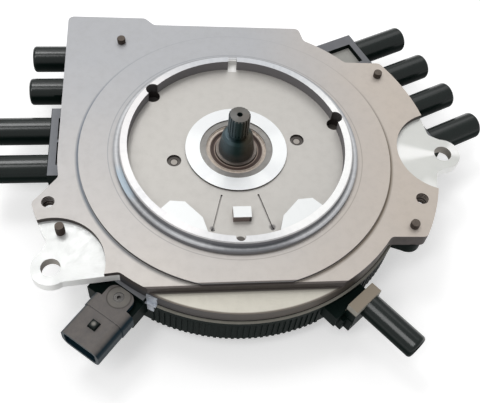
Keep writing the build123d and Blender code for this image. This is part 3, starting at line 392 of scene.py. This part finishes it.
brushing = brushed(radius, turn, 30.0)
# The ring's top is painted greyer in some sectors and whiter towards the right: painted shade and
# painted highlights.
ring_painted_shade = casting.sector(turn, 82, 62) * 0.85 + casting.sector(turn, 270, 26) * 0.4
ring_painted_shade = ring_painted_shade + casting.sector(turn, 218, 18) * 0.35 + (brushing - 0.5) * 0.35
ring_painted_light = casting.mix(((x + 30.0) / 60.0).share(), paint(238, 236, 236), paint(250, 250, 249))
ring_painted_sheen = casting.mix(ring_painted_shade.share(), ring_painted_light, paint(194, 197, 202))
plate = casting.mix(ring_top, plate, ring_painted_sheen)
# The hub ring is painted brighter in sectors, streaked by the brushing: painted highlights.
hub_painted_glints = painted_glints(turn, ((180, 34), (0, 34), (300, 16), (242, 14))) + (brushing - 0.5) * 0.5
hub_painted_sheen = casting.mix(hub_painted_glints.share(), paint(238, 240, 241), paint(247, 249, 249))
plate = casting.mix(hub_ring, plate, hub_painted_sheen)
# The ledge is painted darker towards its edges and in some sectors, painted shade, and bluish-pale in
# one sector, a painted reflection.
ledge_painted_shade = (1 - radius.near(56.9, 1.2)) * 0.6 + brushing * 0.3
ledge_painted_shade = ledge_painted_shade + casting.sector(turn, 222, 20) * 0.2 + casting.sector(turn, 276, 24) * 0.5
ledge_painted_sheen = casting.mix(ledge_painted_shade.share(), paint(226, 227, 229), paint(118, 120, 124))
ledge_painted_sheen = casting.mix(casting.sector(turn, 203, 12) * 0.9, ledge_painted_sheen, paint(178, 194, 206))
plate = casting.mix(ledge, plate, ledge_painted_sheen)
plate = casting.mix((lobes * (1 - ring_top) + lug_top).share(), plate, paint(236, 238, 238))
left_marks = brushed(to_left, casting.turn(spot, left_ear), 24.0)
left_tone = casting.mix(left_marks, paint(214, 216, 213), paint(224, 225, 225))
plate = casting.mix(left_face, plate, left_tone)
right_turn = casting.turn(spot, right_ear)
# The right ear is painted brighter in sectors round its bolt hole and near its edge: painted
# highlights.
right_painted_glints = painted_glints(right_turn, ((179, 22), (20, 50)))
edge_painted_glint = casting.sector(right_turn, 244, 16) * to_right.past(19.0, 4.0)
right_painted_glints = right_painted_glints * right_painted_glints + edge_painted_glint * 0.8
right_painted_sheen = casting.mix((right_painted_glints * 0.95).share(), paint(217, 218, 214), paint(252, 252, 250))
plate = casting.mix(right_face, plate, right_painted_sheen)
print("nodes with the bright cuts:", len(casting.tree.nodes))

# %% Painted shade at the foot of each step and inside the holes, and a scribed line
# The lines at the foot of the steps are painted shade, bluish at the back left and brown at the front
# right; the fine line is a scribed ring.
cool_line, warm_line = paint(94, 106, 120), paint(112, 100, 84)
shade_and_scribe_tone = casting.mix(sides.share(), cool_line, warm_line)
on_plate = level * height.between(*plate_band, 0.2)
step_painted_shade = on_plate * radius.near(step_foot, 1.4)
front_left = casting.sector(turn, 200, 75)
step_painted_shade = step_painted_shade * (0.45 + front_left * 0.45 + casting.sector(turn, 340, 65) * 0.55)
foot_painted_shade = disc * radius.near(ledge_foot, 0.9)
foot_painted_shade = foot_painted_shade * (0.25 + casting.sector(turn, 250, 70) * 0.75)
fine_line = disc * radius.between(*scribed, 0.15) * 0.35
plate = casting.mix((step_painted_shade + foot_painted_shade + fine_line).share(), plate, shade_and_scribe_tone)
plate = casting.mix(segment * radius.past(83.4, 0.4), plate, paint(112, 104, 96))
# Along the straight chord the narrow ledge and the edges of the disc and the segment are painted dark:
# painted shade of the step.
painted_step_shade = paint(90, 83, 80)
chord = along(x, y, (sin(chord_turn), -cos(chord_turn)))
plate = casting.mix(on_plate * chord.between(chord_start, chord_end, 0.1), plate, painted_step_shade)
plate = casting.mix(disc * chord.past(chord_start - 0.4, 0.2) * 0.9, plate, painted_step_shade)
plate = casting.mix(segment * (1 - chord.past(chord_end + 0.5, 0.3)) * 0.9, plate, painted_step_shade)
# Sunk holes, the ring's holes and the drain are painted dark inside: painted shade.
sunk = (1 - casting.nearest(spot, *sinks).past(sink_size)) * (1 - height.past(-1.1, 0.2))
holes = (1 - casting.nearest(spot, *ring_holes).past(hole_size)) * below_ring_top
holes = holes.larger((1 - casting.distance(spot, drain).past(drain_size)) * below_ring_top)
holes = holes.larger(floor * (1 - casting.distance(spot, drain_foot).past(drain_size + 0.1, 0.3)))
pits_in_shade = sunk.larger(holes)
# The ends of the key's grooves on the floor are painted dark: painted shade.
left_end, right_end = [casting.distance(spot, end) for end in groove_ends]
to_end = left_end.smaller(right_end - 0.4)
plate = casting.mix(floor * (1 - to_end.past(1.0, 0.6)) * 0.8, plate, paint(96, 94, 96))
plate = casting.mix(pits_in_shade * 0.9, plate, paint(74, 68, 64))
print("nodes with the lines and the holes:", len(casting.tree.nodes))

# %% Walls
# Walls are painted darker than the level faces, over the grain of the cast skin: painted shade.
skin_and_wall_shading = casting.mix(casting.grain(spot, 3.0, 5.0), paint(92, 86, 83), paint(70, 64, 62))
ring_wall = height.past(-0.6, 0.2) * radius.past(50.0)
bore_wall = ring_wall * (1 - radius.past(53.0, 0.3))
skin_and_wall_shading = casting.mix(ring_wall * 0.8, skin_and_wall_shading, paint(156, 157, 162))
skin_and_wall_shading = casting.mix(bore_wall * 0.8, skin_and_wall_shading, paint(120, 117, 119))
# The outer walls of the ears are painted near-white: painted light.
below_cut = 1 - height.past(-4.0, 0.1)
ear_walls = (1 - to_ear.past(37.0)) * radius.past(body_rim) * below_cut
skin_and_wall_shading = casting.mix(ear_walls, skin_and_wall_shading, paint(252, 252, 250))
ear_bores = 1 - to_ear.past(bolt_size)
skin_and_wall_shading = casting.mix(ear_bores, skin_and_wall_shading, paint(168, 163, 156))
band = radius.between(83.8, body_rim) * height.between(*skirt_band, 0.1)
band_tone = casting.mix(sides.share(), paint(58, 64, 74), paint(94, 87, 80))
skin_and_wall_shading = casting.mix(band, skin_and_wall_shading, band_tone)
# The holes are painted dark on the walls too: painted shade.
skin_and_wall_shading = casting.mix(pits_in_shade * 0.8, skin_and_wall_shading, paint(66, 60, 58))
lug_walls = x.between(*lug_sides) * y.between(*lug_ends) * height.between(-0.9, 3.6)
skin_and_wall_shading = casting.mix(lug_walls, skin_and_wall_shading, paint(138, 124, 120))
# The tapped holes are painted dark inside: painted shade.
in_tapped = 1 - casting.nearest(spot, *tapped).past(tapped_size)
skin_and_wall_shading = casting.mix(in_tapped, skin_and_wall_shading, paint(74, 58, 50))
notch = x.between(*notch_sides, 0.1) * y.between(*notch_ends, 0.2)
whole = casting.mix(level, skin_and_wall_shading, plate)
casting.feed(base_color=casting.mix(notch, whole, paint(244, 243, 241)))
print("nodes for all the casting's colours:", len(casting.tree.nodes))

# %% [markdown]
# # Tool marks
# A lathe leaves rings round its own axis, and a mill leaves rings round each hole that it faced. A
# sine of the distance gives those rings, broken up by noise so that no two are alike. They go into
# the bump and the roughness: the eye sees them mostly as streaks in the highlight.

# %% Rings of the lathe and of the mill
lathe_pitch = 0.35
mill_pitch = 0.5
bright = (ring_top + lobes + lug_top + hub_ring + left_face + right_face).share()
lathe = (radius * (2 * pi / lathe_pitch) + stains * 6.0).math("SINE") * 0.5 + 0.5
mill = (to_ear * (2 * pi / mill_pitch) + stains * 9.0).math("SINE") * 0.5 + 0.5
sand = casting.grain(spot, 0.5, 3.0, 0.7)
turned_marks = (ring_top + hub_ring + disc * 0.5) * lathe * 0.5
milled_marks = (left_face + right_face) * mill * 0.7
relief = turned_marks + milled_marks + sand * (1 - bright * 0.85) * 0.6
worn = 0.5 + (cloud - 0.5) * 0.12 - bright * 0.12 + (brushing - 0.5) * 0.25 * bright
casting.feed(roughness=worn + (1 - level) * 0.1, normal=casting.bump(relief, 0.03))
dress(casting, "base_housing")

# %% [markdown]
# # Machined steels
# The shaft is ground steel, blackened by heat and oil, with wear where the engine's drive rubs. The
# bearing's races are brighter and ground round the shaft. One function makes such a metal from its
# colour and its roughness, because they differ in little else.

# %% A turned metal
ring_pitch = 0.3


def turned_metal(name, colour, dark, roughness, metallic=0.8):
    """Metal that was turned round the shaft, with rings in its highlight and oil in patches."""
    metal = Finish(name, metallic=metallic)
    spot = metal.place()
    waves = 2 * pi / ring_pitch
    rings = (metal.distance(spot) * waves + metal.axes(spot)[2] * waves).math("SINE")
    patches = metal.grain(spot, 2.5, 5.0, 0.6)
    metal.feed(
        base_color=metal.mix(((patches - 0.35).larger(0.0) * 0.875).share(), colour, dark),
        roughness=roughness + (patches - 0.5) * 0.25,
        normal=metal.bump(rings * 0.5 + patches, 0.02),
    )
    return metal


dress(turned_metal("ground_race_steel", paint(142, 140, 137), paint(112, 108, 103), 0.38),
      "bearing_outer_race", "bearing_balls")
dress(turned_metal("worn_race_steel", paint(134, 126, 120), paint(88, 80, 74), 0.4),
      "bearing_inner_race")
spring_steel = turned_metal("spring_steel", paint(150, 150, 150), paint(80, 80, 82), 0.32)
dress(spring_steel, "shaft_snap_ring", "shutter_wheel")
dress(turned_metal("screw_steel", paint(96, 94, 92), paint(50, 48, 47), 0.4),
      "dust_cover_screws", "rotor_screws", "connector_screw")
dress(turned_metal("bare_machined_aluminium", paint(215, 215, 214), paint(170, 170, 168), 0.4),
      "wheel_hub", "wheel_clamp_ring", "sensor_plate", "cap_electrodes")
dress(turned_metal("contact_brass", paint(200, 160, 92), paint(120, 90, 50), 0.34),
      "rotor_electrode", "spark_terminals", "coil_terminal", "connector_pins", "bearing_cage")
dress(turned_metal("bright_clip_steel", paint(192, 197, 205), paint(150, 152, 156), 0.45), "lead_clip")

# %% [markdown]
# # The shaft and the rusty screw tips
# The shaft's black is painted lighter and bluish on one side, a painted reflection, and brown on the
# other, oil has baked on low down, and its end face is painted grey, a painted sheen. The tips of the
# cap's screws stand out in the weather and have browned, paler on their ends, and the ends of the
# sensor's screws are painted dark round a bright spot in the middle, the painted shade of their sunk
# holes. All three finishes are a turned metal whose colour is put in anew, so they start from it.

# %% The blackened shaft
cone_foot, shaft_end = 4.0, 20.0
shaft_black = turned_metal("blackened_shaft_steel", paint(52, 58, 58), paint(26, 32, 32), 0.35,
                           metallic=0.6)
spot = shaft_black.place()
height = shaft_black.axes(spot)[2]
level = shaft_black.facing_up().past(0.6, 0.25)
baked = shaft_black.grain(spot, 1.6, 5.0, 0.65)
turn = shaft_black.turn(spot)
tone = shaft_black.mix(baked, paint(34, 62, 62), paint(14, 38, 36))
# The shaft is painted lighter and bluish on one side, a painted reflection, and brown on the other.
tone = shaft_black.mix(shaft_black.sector(turn, 195, 70) * 0.7, tone, paint(104, 120, 128))
tone = shaft_black.mix(shaft_black.sector(turn, 330, 60) * 0.6, tone, paint(88, 72, 52))
tone = shaft_black.mix((1 - height.past(cone_foot, 2.0)) * baked, tone, paint(100, 94, 90))
# Its end face is painted grey: a painted sheen.
tone = shaft_black.mix(level * height.past(shaft_end) * 0.8, tone, paint(112, 108, 104))
shaft_black.feed(base_color=tone)
dress(shaft_black, "drive_shaft")

# %% The browned tips and the bright spots
browned = turned_metal("browned_screw_steel", paint(82, 70, 64), paint(46, 38, 34), 0.55,
                       metallic=0.4)
spot = browned.place()
level = browned.facing_up().past(0.6, 0.25)
rust = browned.grain(spot, 0.9, 4.0, 0.6)
tone = browned.mix(rust, paint(70, 58, 52), paint(42, 34, 30))
browned.feed(base_color=browned.mix(level * (rust * 0.8 + 0.1), tone, paint(126, 116, 106)))
dress(browned, "cap_screws")

bright_spot = 1.55
spotted = turned_metal("screw_end_steel", paint(96, 94, 92), paint(50, 48, 47), 0.45,
                       metallic=0.4)
# The screw end is painted dark round a bright spot in its middle: the painted shade of its sunk hole.
sink_painted_shade = spotted.nearest(spotted.place(), *sinks).past(bright_spot, 0.15)
spotted.feed(base_color=spotted.mix(sink_painted_shade, paint(168, 162, 155), paint(52, 47, 44)))
dress(spotted, "sensor_screws")

# %% [markdown]
# # The bearing's shield
# The shield is a thin pressed ring. Its rim and its inner lip are a pale tan, the trough between them
# is painted dark as painted shade, and brown dust lies in patches. The distance from the shaft says
# which of them a point is on, so a colour ramp over that distance paints all the rings at once.

# %% Rings of the shield
shield = Finish("dusty_shield_tan", metallic=0.15)
spot = shield.place()
radius = shield.distance(spot)
lump = shield.grain(spot, 1.2, 5.0, 0.65)
inner, outer = 9.8, 14.6
# Pale tan on the rim and the lip, painted shade in the trough between them.
tan_and_shaded_bands = ((inner, (146, 128, 116)), (10.5, (168, 150, 138)), (10.8, (62, 46, 40)),
         (12.4, (72, 54, 46)), (12.8, (212, 200, 188)), (outer, (206, 194, 182)))
stops = [((edge - inner) / (outer - inner), paint(*tone)) for edge, tone in tan_and_shaded_bands]
rings = shield.add("ShaderNodeValToRGB", {"stops": stops}, {0: (radius - inner) / (outer - inner)})
dusty = shield.mix((lump - 0.4).larger(0.0) * 1.2, rings, paint(96, 80, 70))
shield.feed(base_color=dusty, roughness=0.42 + lump * 0.25, normal=shield.bump(lump, 0.03))
dress(shield, "bearing_shields")

# %% [markdown]
# # Black moulded plastic
# The cap is moulded in a hard, dark, glass-filled plastic. It is nearly black on its walls and on the
# towers, but each flat face that looks up is painted grey, partly dust and partly a painted sheen. The
# collar of the coil tower is painted tan and pale, a painted sheen, and the pockets in the banks are
# paler at the bottom. The backs of the towers are polished by handling, so only they carry a clear
# coat that catches the lamps.

# %% A moulded plastic
def moulded(name, colour, lighter, roughness, grain_size=0.6, depth=0.02, specular=0.5, **levels):
    """Plastic from a mould: fine grain and faint flow marks."""
    plastic = Finish(name, specular=specular, **levels)
    spot = plastic.place()
    flow = plastic.grain(spot, 14.0, 3.0, 0.5)
    fine = plastic.grain(spot, grain_size, 3.0, 0.6)
    plastic.feed(
        base_color=plastic.mix(flow * 0.6, colour, lighter),
        roughness=roughness + (flow - 0.5) * 0.16 + (fine - 0.5) * 0.1,
        normal=plastic.bump(fine + flow * 0.5, depth),
    )
    return plastic


dress(moulded("dark_cover_plastic", paint(30, 30, 30), paint(52, 50, 48), 0.5),
      "dust_cover", "optical_sensor")
dress(moulded("rotor_plastic", paint(36, 32, 30), paint(58, 52, 48), 0.42), "rotor_body")
dress(moulded("gasket_rubber", paint(22, 22, 22), paint(44, 42, 40), 0.75, grain_size=0.3, depth=0.03,
              specular=0.3), "cap_gasket")
dress(moulded("carbon_button", paint(30, 30, 32), paint(58, 58, 60), 0.6, grain_size=0.2),
      "contact_button")

# %% The cap's black, with its tops painted grey as dust and sheen
coil_turn = radians(-48.2)
left_way, right_way = (-1.0, -0.035), (0.899, 0.438)
left_wall, right_wall = 89.8, 98.6
collar_foot, collar_end = 89.3, 95.0
bank_band, pocket_band, rim_band = (-9.3, -8.9), (-12.25, -11.95), (-12.95, -12.1)
rim_reach, collar_sides = (84.3, 85.8), (-16.9, -0.3)
cap_black = moulded("black_cap_plastic", paint(14, 22, 21), paint(26, 36, 35), 0.45, depth=0.006,
                    specular=0.03, coat_roughness=0.22)
spot = cap_black.place()
x, y, height = cap_black.axes(spot)
radius = cap_black.distance(spot)
level = cap_black.facing_up().past(0.9, 0.08)
smudge = cap_black.grain(spot, 3.5, 6.0, 0.65)
black = cap_black.mix(smudge, paint(8, 18, 16), paint(18, 30, 27))
left_reach, right_reach = along(x, y, left_way), along(x, y, right_way)
coil_reach = along(x, y, (cos(coil_turn), sin(coil_turn)))
coil_side = along(x, y, (-sin(coil_turn), cos(coil_turn)))
on_bank = (1 - left_reach.past(left_wall, 0.1)) * (1 - right_reach.past(right_wall, 0.1))
under_plate = (1 - x.past(-60.0)) * y.past(42.0)
bank_tops = level * height.between(*bank_band) * on_bank * (1 - under_plate)
pocket_floors = level * height.between(*pocket_band)
rim_ledge = height.between(*rim_band) * radius.between(*rim_reach)
collar = coil_reach.between(collar_foot, collar_end) * coil_side.between(*collar_sides)
collar = collar * height.past(-16.0, 0.5)
# Faces that look up are painted grey: partly dust, partly a painted sheen.
dust_and_sheen = cap_black.mix(left_reach.past(60.0), paint(128, 129, 133), paint(150, 152, 157))
tone = cap_black.mix(bank_tops * (0.75 + smudge * 0.25), black, dust_and_sheen)
tone = cap_black.mix(pocket_floors * (0.8 + smudge * 0.2), tone, paint(178, 177, 172))
tone = cap_black.mix(rim_ledge * (0.6 + smudge * 0.4), tone, paint(150, 147, 138))
# The collar's top and walls are painted tan and pale: a painted sheen on the black plastic.
tone = cap_black.mix(collar * level, tone, paint(150, 140, 126))
collar_wall_sheen = collar * (1 - level) * height.past(-13.6, 0.6)
tone = cap_black.mix(collar_wall_sheen * 0.9, tone, paint(184, 180, 170))
towers = left_reach.past(left_wall + 0.3, 0.1).larger(right_reach.past(right_wall + 0.3, 0.1))
towers = towers.larger(coil_reach.past(collar_end, 0.1))
polish = towers.larger(under_plate) * cap_black.facing_up().past(0.45, 0.2)
cap_black.feed(base_color=tone, coat_weight=polish)
dress(cap_black, "cap")

# %% [markdown]
# # The connector's shell
# The connector is moulded in a softer, grey-brown nylon than the cap. Its top is painted paler, partly
# dust and partly a painted sheen, a dark ring runs round its screw, and its sides stay dark and a
# little blue. The small square catch on the top is black all over, with a pale spot in its middle.

# %% A greyer plastic
catch_place, screw_place = (-62.2, -86.7), (-52.5, -73.9)
catch_foot, catch_top, catch_reach = -9.9, -8.6, 3.6
screw_ring = (4.9, 5.5)
connector_grey = moulded("grey_connector_plastic", paint(40, 46, 52), paint(58, 62, 66), 0.4,
                         specular=0.1)
spot = connector_grey.place()
height = connector_grey.axes(spot)[2]
top = connector_grey.facing_up().past(0.75, 0.2) * height.past(-13.0, 0.3)
smudge = connector_grey.grain(spot, 3.0, 6.0, 0.65)
shell = connector_grey.mix(smudge, paint(10, 34, 44), paint(26, 46, 56))
# The top is painted paler: partly dust, partly a painted sheen.
pale = connector_grey.mix(smudge, paint(92, 90, 92), paint(124, 118, 112))
to_screw = connector_grey.distance(spot, screw_place)
pale = connector_grey.mix(to_screw.between(*screw_ring, 0.2) * 0.6, pale, paint(66, 62, 58))
pale = connector_grey.mix((1 - to_screw.past(screw_ring[0], 0.3)) * 0.35, pale, paint(132, 130, 122))
tone = connector_grey.mix(top, shell, pale)
to_catch = connector_grey.distance(spot, catch_place)
catch = (1 - to_catch.past(catch_reach)) * height.past(catch_foot)
tone = connector_grey.mix(catch, tone, paint(18, 28, 26))
# A pale spot in the middle of the catch's top.
pale_spot = catch * height.past(catch_top) * (1 - to_catch.past(0.9, 0.6))
tone = connector_grey.mix(pale_spot, tone, paint(136, 134, 128))
connector_grey.feed(base_color=tone)
dress(connector_grey, "connector_housing")

# %% [markdown]
# # Teeth and threads with Geometry Nodes
# The rim of the cap is cut in fine teeth, and the screws and the tapped holes have threads. Each is
# one small shape that repeats, which is what Geometry Nodes are for. A recipe is a tree with named
# sizes. It grows its shape on the bare points of a seed mesh, the result is turned into a plain mesh,
# and the seed goes away.

# %% A recipe of geometry with named sizes
class Recipe(Graph):
    """A Geometry Nodes tree that puts one shape on each point of a seed mesh."""

    def __init__(self, name, *sizes):
        super().__init__(bpy.data.node_groups.new(name, "GeometryNodeTree"))
        self.new_socket("Seeds", "INPUT", "NodeSocketGeometry")
        for size in sizes:
            self.new_socket(size, "INPUT", "NodeSocketFloat")
        self.new_socket("Grown", "OUTPUT", "NodeSocketGeometry")
        self.start = self.tree.nodes.new("NodeGroupInput")
        self.end = self.tree.nodes.new("NodeGroupOutput")

    def new_socket(self, name, side, kind):
        self.tree.interface.new_socket(name, in_out=side, socket_type=kind)

    def size(self, name):
        """A named size of the recipe."""
        return Value(self, self.start.outputs[name])

    def close(self, shape, finish, turned=None):
        """Puts the shape on every seed, makes it real and gives it its finish."""
        sockets = {"Points": self.size("Seeds"), "Instance": shape}
        if turned is not None:
            sockets["Rotation"] = turned
        copies = self.add("GeometryNodeInstanceOnPoints", None, sockets)
        real = self.add("GeometryNodeRealizeInstances", None, {0: copies})
        look = {"Geometry": real, "Material": finish.material}
        dressed = self.add("GeometryNodeSetMaterial", None, look)
        self.fill(self.end.inputs["Grown"], dressed)


def grow(name, recipe, seeds, slot, **sizes):
    """Runs a recipe on seed points, in metres, and keeps the result as a plain mesh on the housing."""
    mesh = bpy.data.meshes.new(name + "_seeds")
    mesh.from_pydata(seeds, [], [])
    seed = bpy.data.objects.new(name + "_seeds", mesh)
    bpy.context.scene.collection.objects.link(seed)
    modifier = seed.modifiers.new("recipe", "NODES")
    modifier.node_group = recipe.tree
    for item in recipe.tree.interface.items_tree:
        if item.name.lower() in sizes:
            modifier[item.identifier] = float(sizes[item.name.lower()])
    evaluated = seed.evaluated_get(bpy.context.evaluated_depsgraph_get())
    piece = bpy.data.objects.new(name, bpy.data.meshes.new_from_object(evaluated))
    bpy.context.scene.collection.objects.link(piece)
    bpy.data.objects.remove(seed)
    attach(piece, "housing")
    print(name, "on", len(seeds), "points:", len(piece.data.polygons), "faces")
    return piece


print("a recipe can", ", ".join(name for name in vars(Recipe) if not name.startswith("_")))

# %% [markdown]
# # The toothed rim
# Each tooth is a low upright bar on the cap's skirt. The teeth stand round the rim wherever no bank,
# shelf or block covers it, so the seeds are laid on four arcs, and each bar turns to face outwards.

# %% Teeth round the rim of the cap
def point(radius, angle, height):
    """A point in metres from its distance to the shaft, its angle and its height in millimetres."""
    return tuple(number / 1000 for number in (*plan(radius, angle), height))


rim_radius = 84.6
tooth_gap = 2.6
tooth_middle = -23.0
free_arcs = ((-117.0, -65.0), (-46.0, -4.0), (64.0, 110.0), (192.0, 223.0))

bar_sizes = ("Height", "Width", "Length")
teeth = Recipe("rim_teeth", *bar_sizes)
bar_size = teeth.add("ShaderNodeCombineXYZ", None, dict(enumerate(map(teeth.size, bar_sizes))))
bar = teeth.add("GeometryNodeMeshCube", None, {"Size": bar_size})
seed_x, seed_y, _ = teeth.axes(teeth.add("GeometryNodeInputPosition"))
outwards = teeth.add("ShaderNodeCombineXYZ", None, {2: seed_y.math("ARCTAN2", seed_x)})
teeth.close(bar, cap_black, outwards)

tooth_places = []
for start, stop in free_arcs:
    count = int(radians(stop - start) * rim_radius / tooth_gap)
    for step in range(count + 1):
        tooth_places.append(point(rim_radius, start + (stop - start) * step / count, tooth_middle))
grow("rim_teeth", teeth, tooth_places, "cap_plastic", height=0.0009, width=0.0013, length=0.0136)

# %% [markdown]
# # Threads
# A thread is a ridge that climbs round a cylinder. A spiral curve gives its path, and a circle with
# three corners, swept along it, gives the ridge. The same recipe serves the tips of the cap's screws,
# where the ridge stands out of the steel, and the tapped holes, where it stands out of the wall.

# %% Threads on the screws and in the holes
def thread_recipe(name, finish, corners=3):
    """A bar with a few corners that winds round an upright axis."""
    thread = Recipe(name, "Radius", "Pitch", "Length", "Ridge")
    turns = thread.size("Length") / thread.size("Pitch")
    path_sizes = {"Resolution": 24, "Rotations": turns, "Start Radius": thread.size("Radius"),
                  "End Radius": thread.size("Radius"), "Height": thread.size("Length")}
    path = thread.add("GeometryNodeCurveSpiral", None, path_sizes)
    ridge_sizes = {"Resolution": corners, "Radius": thread.size("Ridge")}
    ridge = thread.add("GeometryNodeCurvePrimitiveCircle", None, ridge_sizes)
    sweep = {"Curve": path, "Profile Curve": ridge, "Fill Caps": True}
    swept = thread.add("GeometryNodeCurveToMesh", None, sweep)
    thread.close(swept, finish)
    return thread


screw_reach, screw_angles, ear_screw_angle = 91.0, (129.6, 33.3, -27.7), 209.6
plate_tip_foot, ear_tip_foot, hole_mouth = -1.3, -3.8, -8.5
fine = {"radius": 0.00198, "pitch": 0.0007, "ridge": 0.0002}
outer_thread = thread_recipe("screw_thread", browned)
plate_tips = [point(screw_reach, angle, plate_tip_foot) for angle in screw_angles]
grow("plate_screw_threads", outer_thread, plate_tips, "screw_steel", length=0.0025, **fine)
ear_tip = point(screw_reach, ear_screw_angle, ear_tip_foot)
grow("ear_screw_thread", outer_thread, [ear_tip], "screw_steel", length=0.005, **fine)

inner_thread = thread_recipe("hole_thread", casting)
hole_mouths = [point(side_hole_reach, angle, hole_mouth) for angle in side_hole_angles]
grow("side_hole_threads", inner_thread, hole_mouths, "cast_aluminium", radius=0.00305, pitch=0.001,
     length=0.0066, ridge=0.00035)

# %% [markdown]
# # The spring behind the button
# The carbon button sinks into the cap as the cap goes on, and its spring has to give way. A wound wire
# from the same recipe stands for the solid spring, and the share of its length that it keeps when the
# button moves as far as its joint allows is worked out.

# %% A wound spring, and the share of it that a press keeps
wire = 0.00025
windings = 3
low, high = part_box("button_spring")
rise = high[2] - low[2] - 2 * wire
wound = thread_recipe("wound_spring", spring_steel, corners=8)
coil_spring = grow("button_spring_coil", wound, [(0.0, 0.0, low[2] + wire)], "spring_steel",
                   radius=high[0] - wire, pitch=rise / windings, length=rise, ridge=wire)
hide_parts("button_spring")
joints = frame["record"]["behaviour"]["joints"]
press = next(joint for joint in joints if joint["name"] == "button_press")
kept = 1 - press["range_m"][1] / (high[2] - low[2])
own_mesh(coil_spring)
print("the spring keeps", round(kept, 3), "of its length")

# %% [markdown]
# # The studio
# The part lies on its cap on a white floor. One wide soft lamp stands where the level faces mirror
# it, so that the metal shows the grey it was given. A smaller and brighter one hangs above at the
# left: it models the forms and draws the line of light on the left towers. A third, in front, does
# the same for the coil tower. A pale room fills the shadows. What the eye sees of the floor gets a
# little light of its own, so the page is white while the shadow stays.

# %% Floor and room
floor_level = solid_box[0][2] - 0.0001
half = 2.0
paper_white, paper_glow, room_light = 0.85, 0.42, 0.45
mesh = bpy.data.meshes.new("studio_floor")
square = ((-half, -half), (half, -half), (half, half), (-half, half))
corners = [(*corner, floor_level) for corner in square]
mesh.from_pydata(corners, [], [(0, 1, 2, 3)])
studio_floor = bpy.data.objects.new("studio_floor", mesh)
bpy.context.scene.collection.objects.link(studio_floor)
paper = Finish("studio_paper", roughness=0.9, specular=0.0)
paper.feed(base_color=(paper_white, paper_white, paper_white, 1.0))
rays = paper.add("ShaderNodeLightPath").socket.node
kinds = ("Is Camera Ray", "Is Glossy Ray", "Is Transmission Ray")
camera_ray, glossy_ray, clear_ray = [Value(paper, rays.outputs[kind]) for kind in kinds]
seen = camera_ray.larger(glossy_ray).larger(clear_ray)
lit = {"Color": (1.0, 1.0, 1.0, 1.0), "Strength": seen * paper_glow}
glow = paper.add("ShaderNodeEmission", None, lit)
both = paper.add("ShaderNodeAddShader", None, {0: Value(paper, paper.shader.outputs[0]), 1: glow})
paper.fill(paper.tree.nodes["Material Output"].inputs["Surface"], both)
mesh.materials.append(paper.material)

room = bpy.data.worlds.new("pale_room")
room.use_nodes = True
air = Graph(room.node_tree)
to_camera = air.add("ShaderNodeLightPath")
backdrop = room.node_tree.nodes["Background"]
air.fill(backdrop.inputs["Color"], (1.0, 1.0, 1.0, 1.0))
air.fill(backdrop.inputs["Strength"], to_camera * (1 - room_light) + room_light)
bpy.context.scene.world = room
print("floor at", round(floor_level, 4), "m, room light", room_light)


# %% Lamps
def soft_lamp(name, place, size, brightness):
    """A flat soft lamp that looks at the shaft; its brightness is that of its own face."""
    light = bpy.data.lights.new(name, "AREA")
    light.shape = "RECTANGLE"
    light.size, light.size_y = size
    light.energy = brightness * pi * size[0] * size[1]
    lamp = bpy.data.objects.new(name, light)
    lamp.location = place
    lamp.rotation_euler = (-Vector(place)).to_track_quat("-Z", "Y").to_euler()
    bpy.context.scene.collection.objects.link(lamp)
    print(name, "at", place, "power", round(light.energy, 2))


soft_lamp("back_softbox", (0.12, 0.85, 1.10), (1.3, 1.0), 0.95)
soft_lamp("key_softbox", (-0.34, 0.36, 1.05), (0.3, 0.3), 7.5)
soft_lamp("front_softbox", (-1.58, -1.10, 3.49), (0.8, 2.4), 5.0)

# %% [markdown]
# # The camera
# The part is seen from in front and well above, from about 36 cm away. At that distance the near edge
# looks larger than the far one, so the lens and the distance matter as much as the angle.

# %% Camera
camera_place = (-0.02646, -0.21549, 0.28159)
camera_turn = (33.349, -4.099, -2.145)
lens = 55.5
camera = bpy.data.objects.new("camera", bpy.data.cameras.new("camera"))
camera.data.lens = lens
camera.data.sensor_width = 36.0
camera.data.clip_start = 0.01
camera.location = camera_place
camera.rotation_euler = [radians(angle) for angle in camera_turn]
bpy.context.scene.collection.objects.link(camera)
bpy.context.scene.camera = camera
print("camera at", camera_place, "lens", lens)

# %% [markdown]
# The view
# The picture is shown through the Standard view transform. The picture's parts may not grow past
# the solid ones.

# %% Finish
bpy.context.scene.view_settings.view_transform = "Standard"
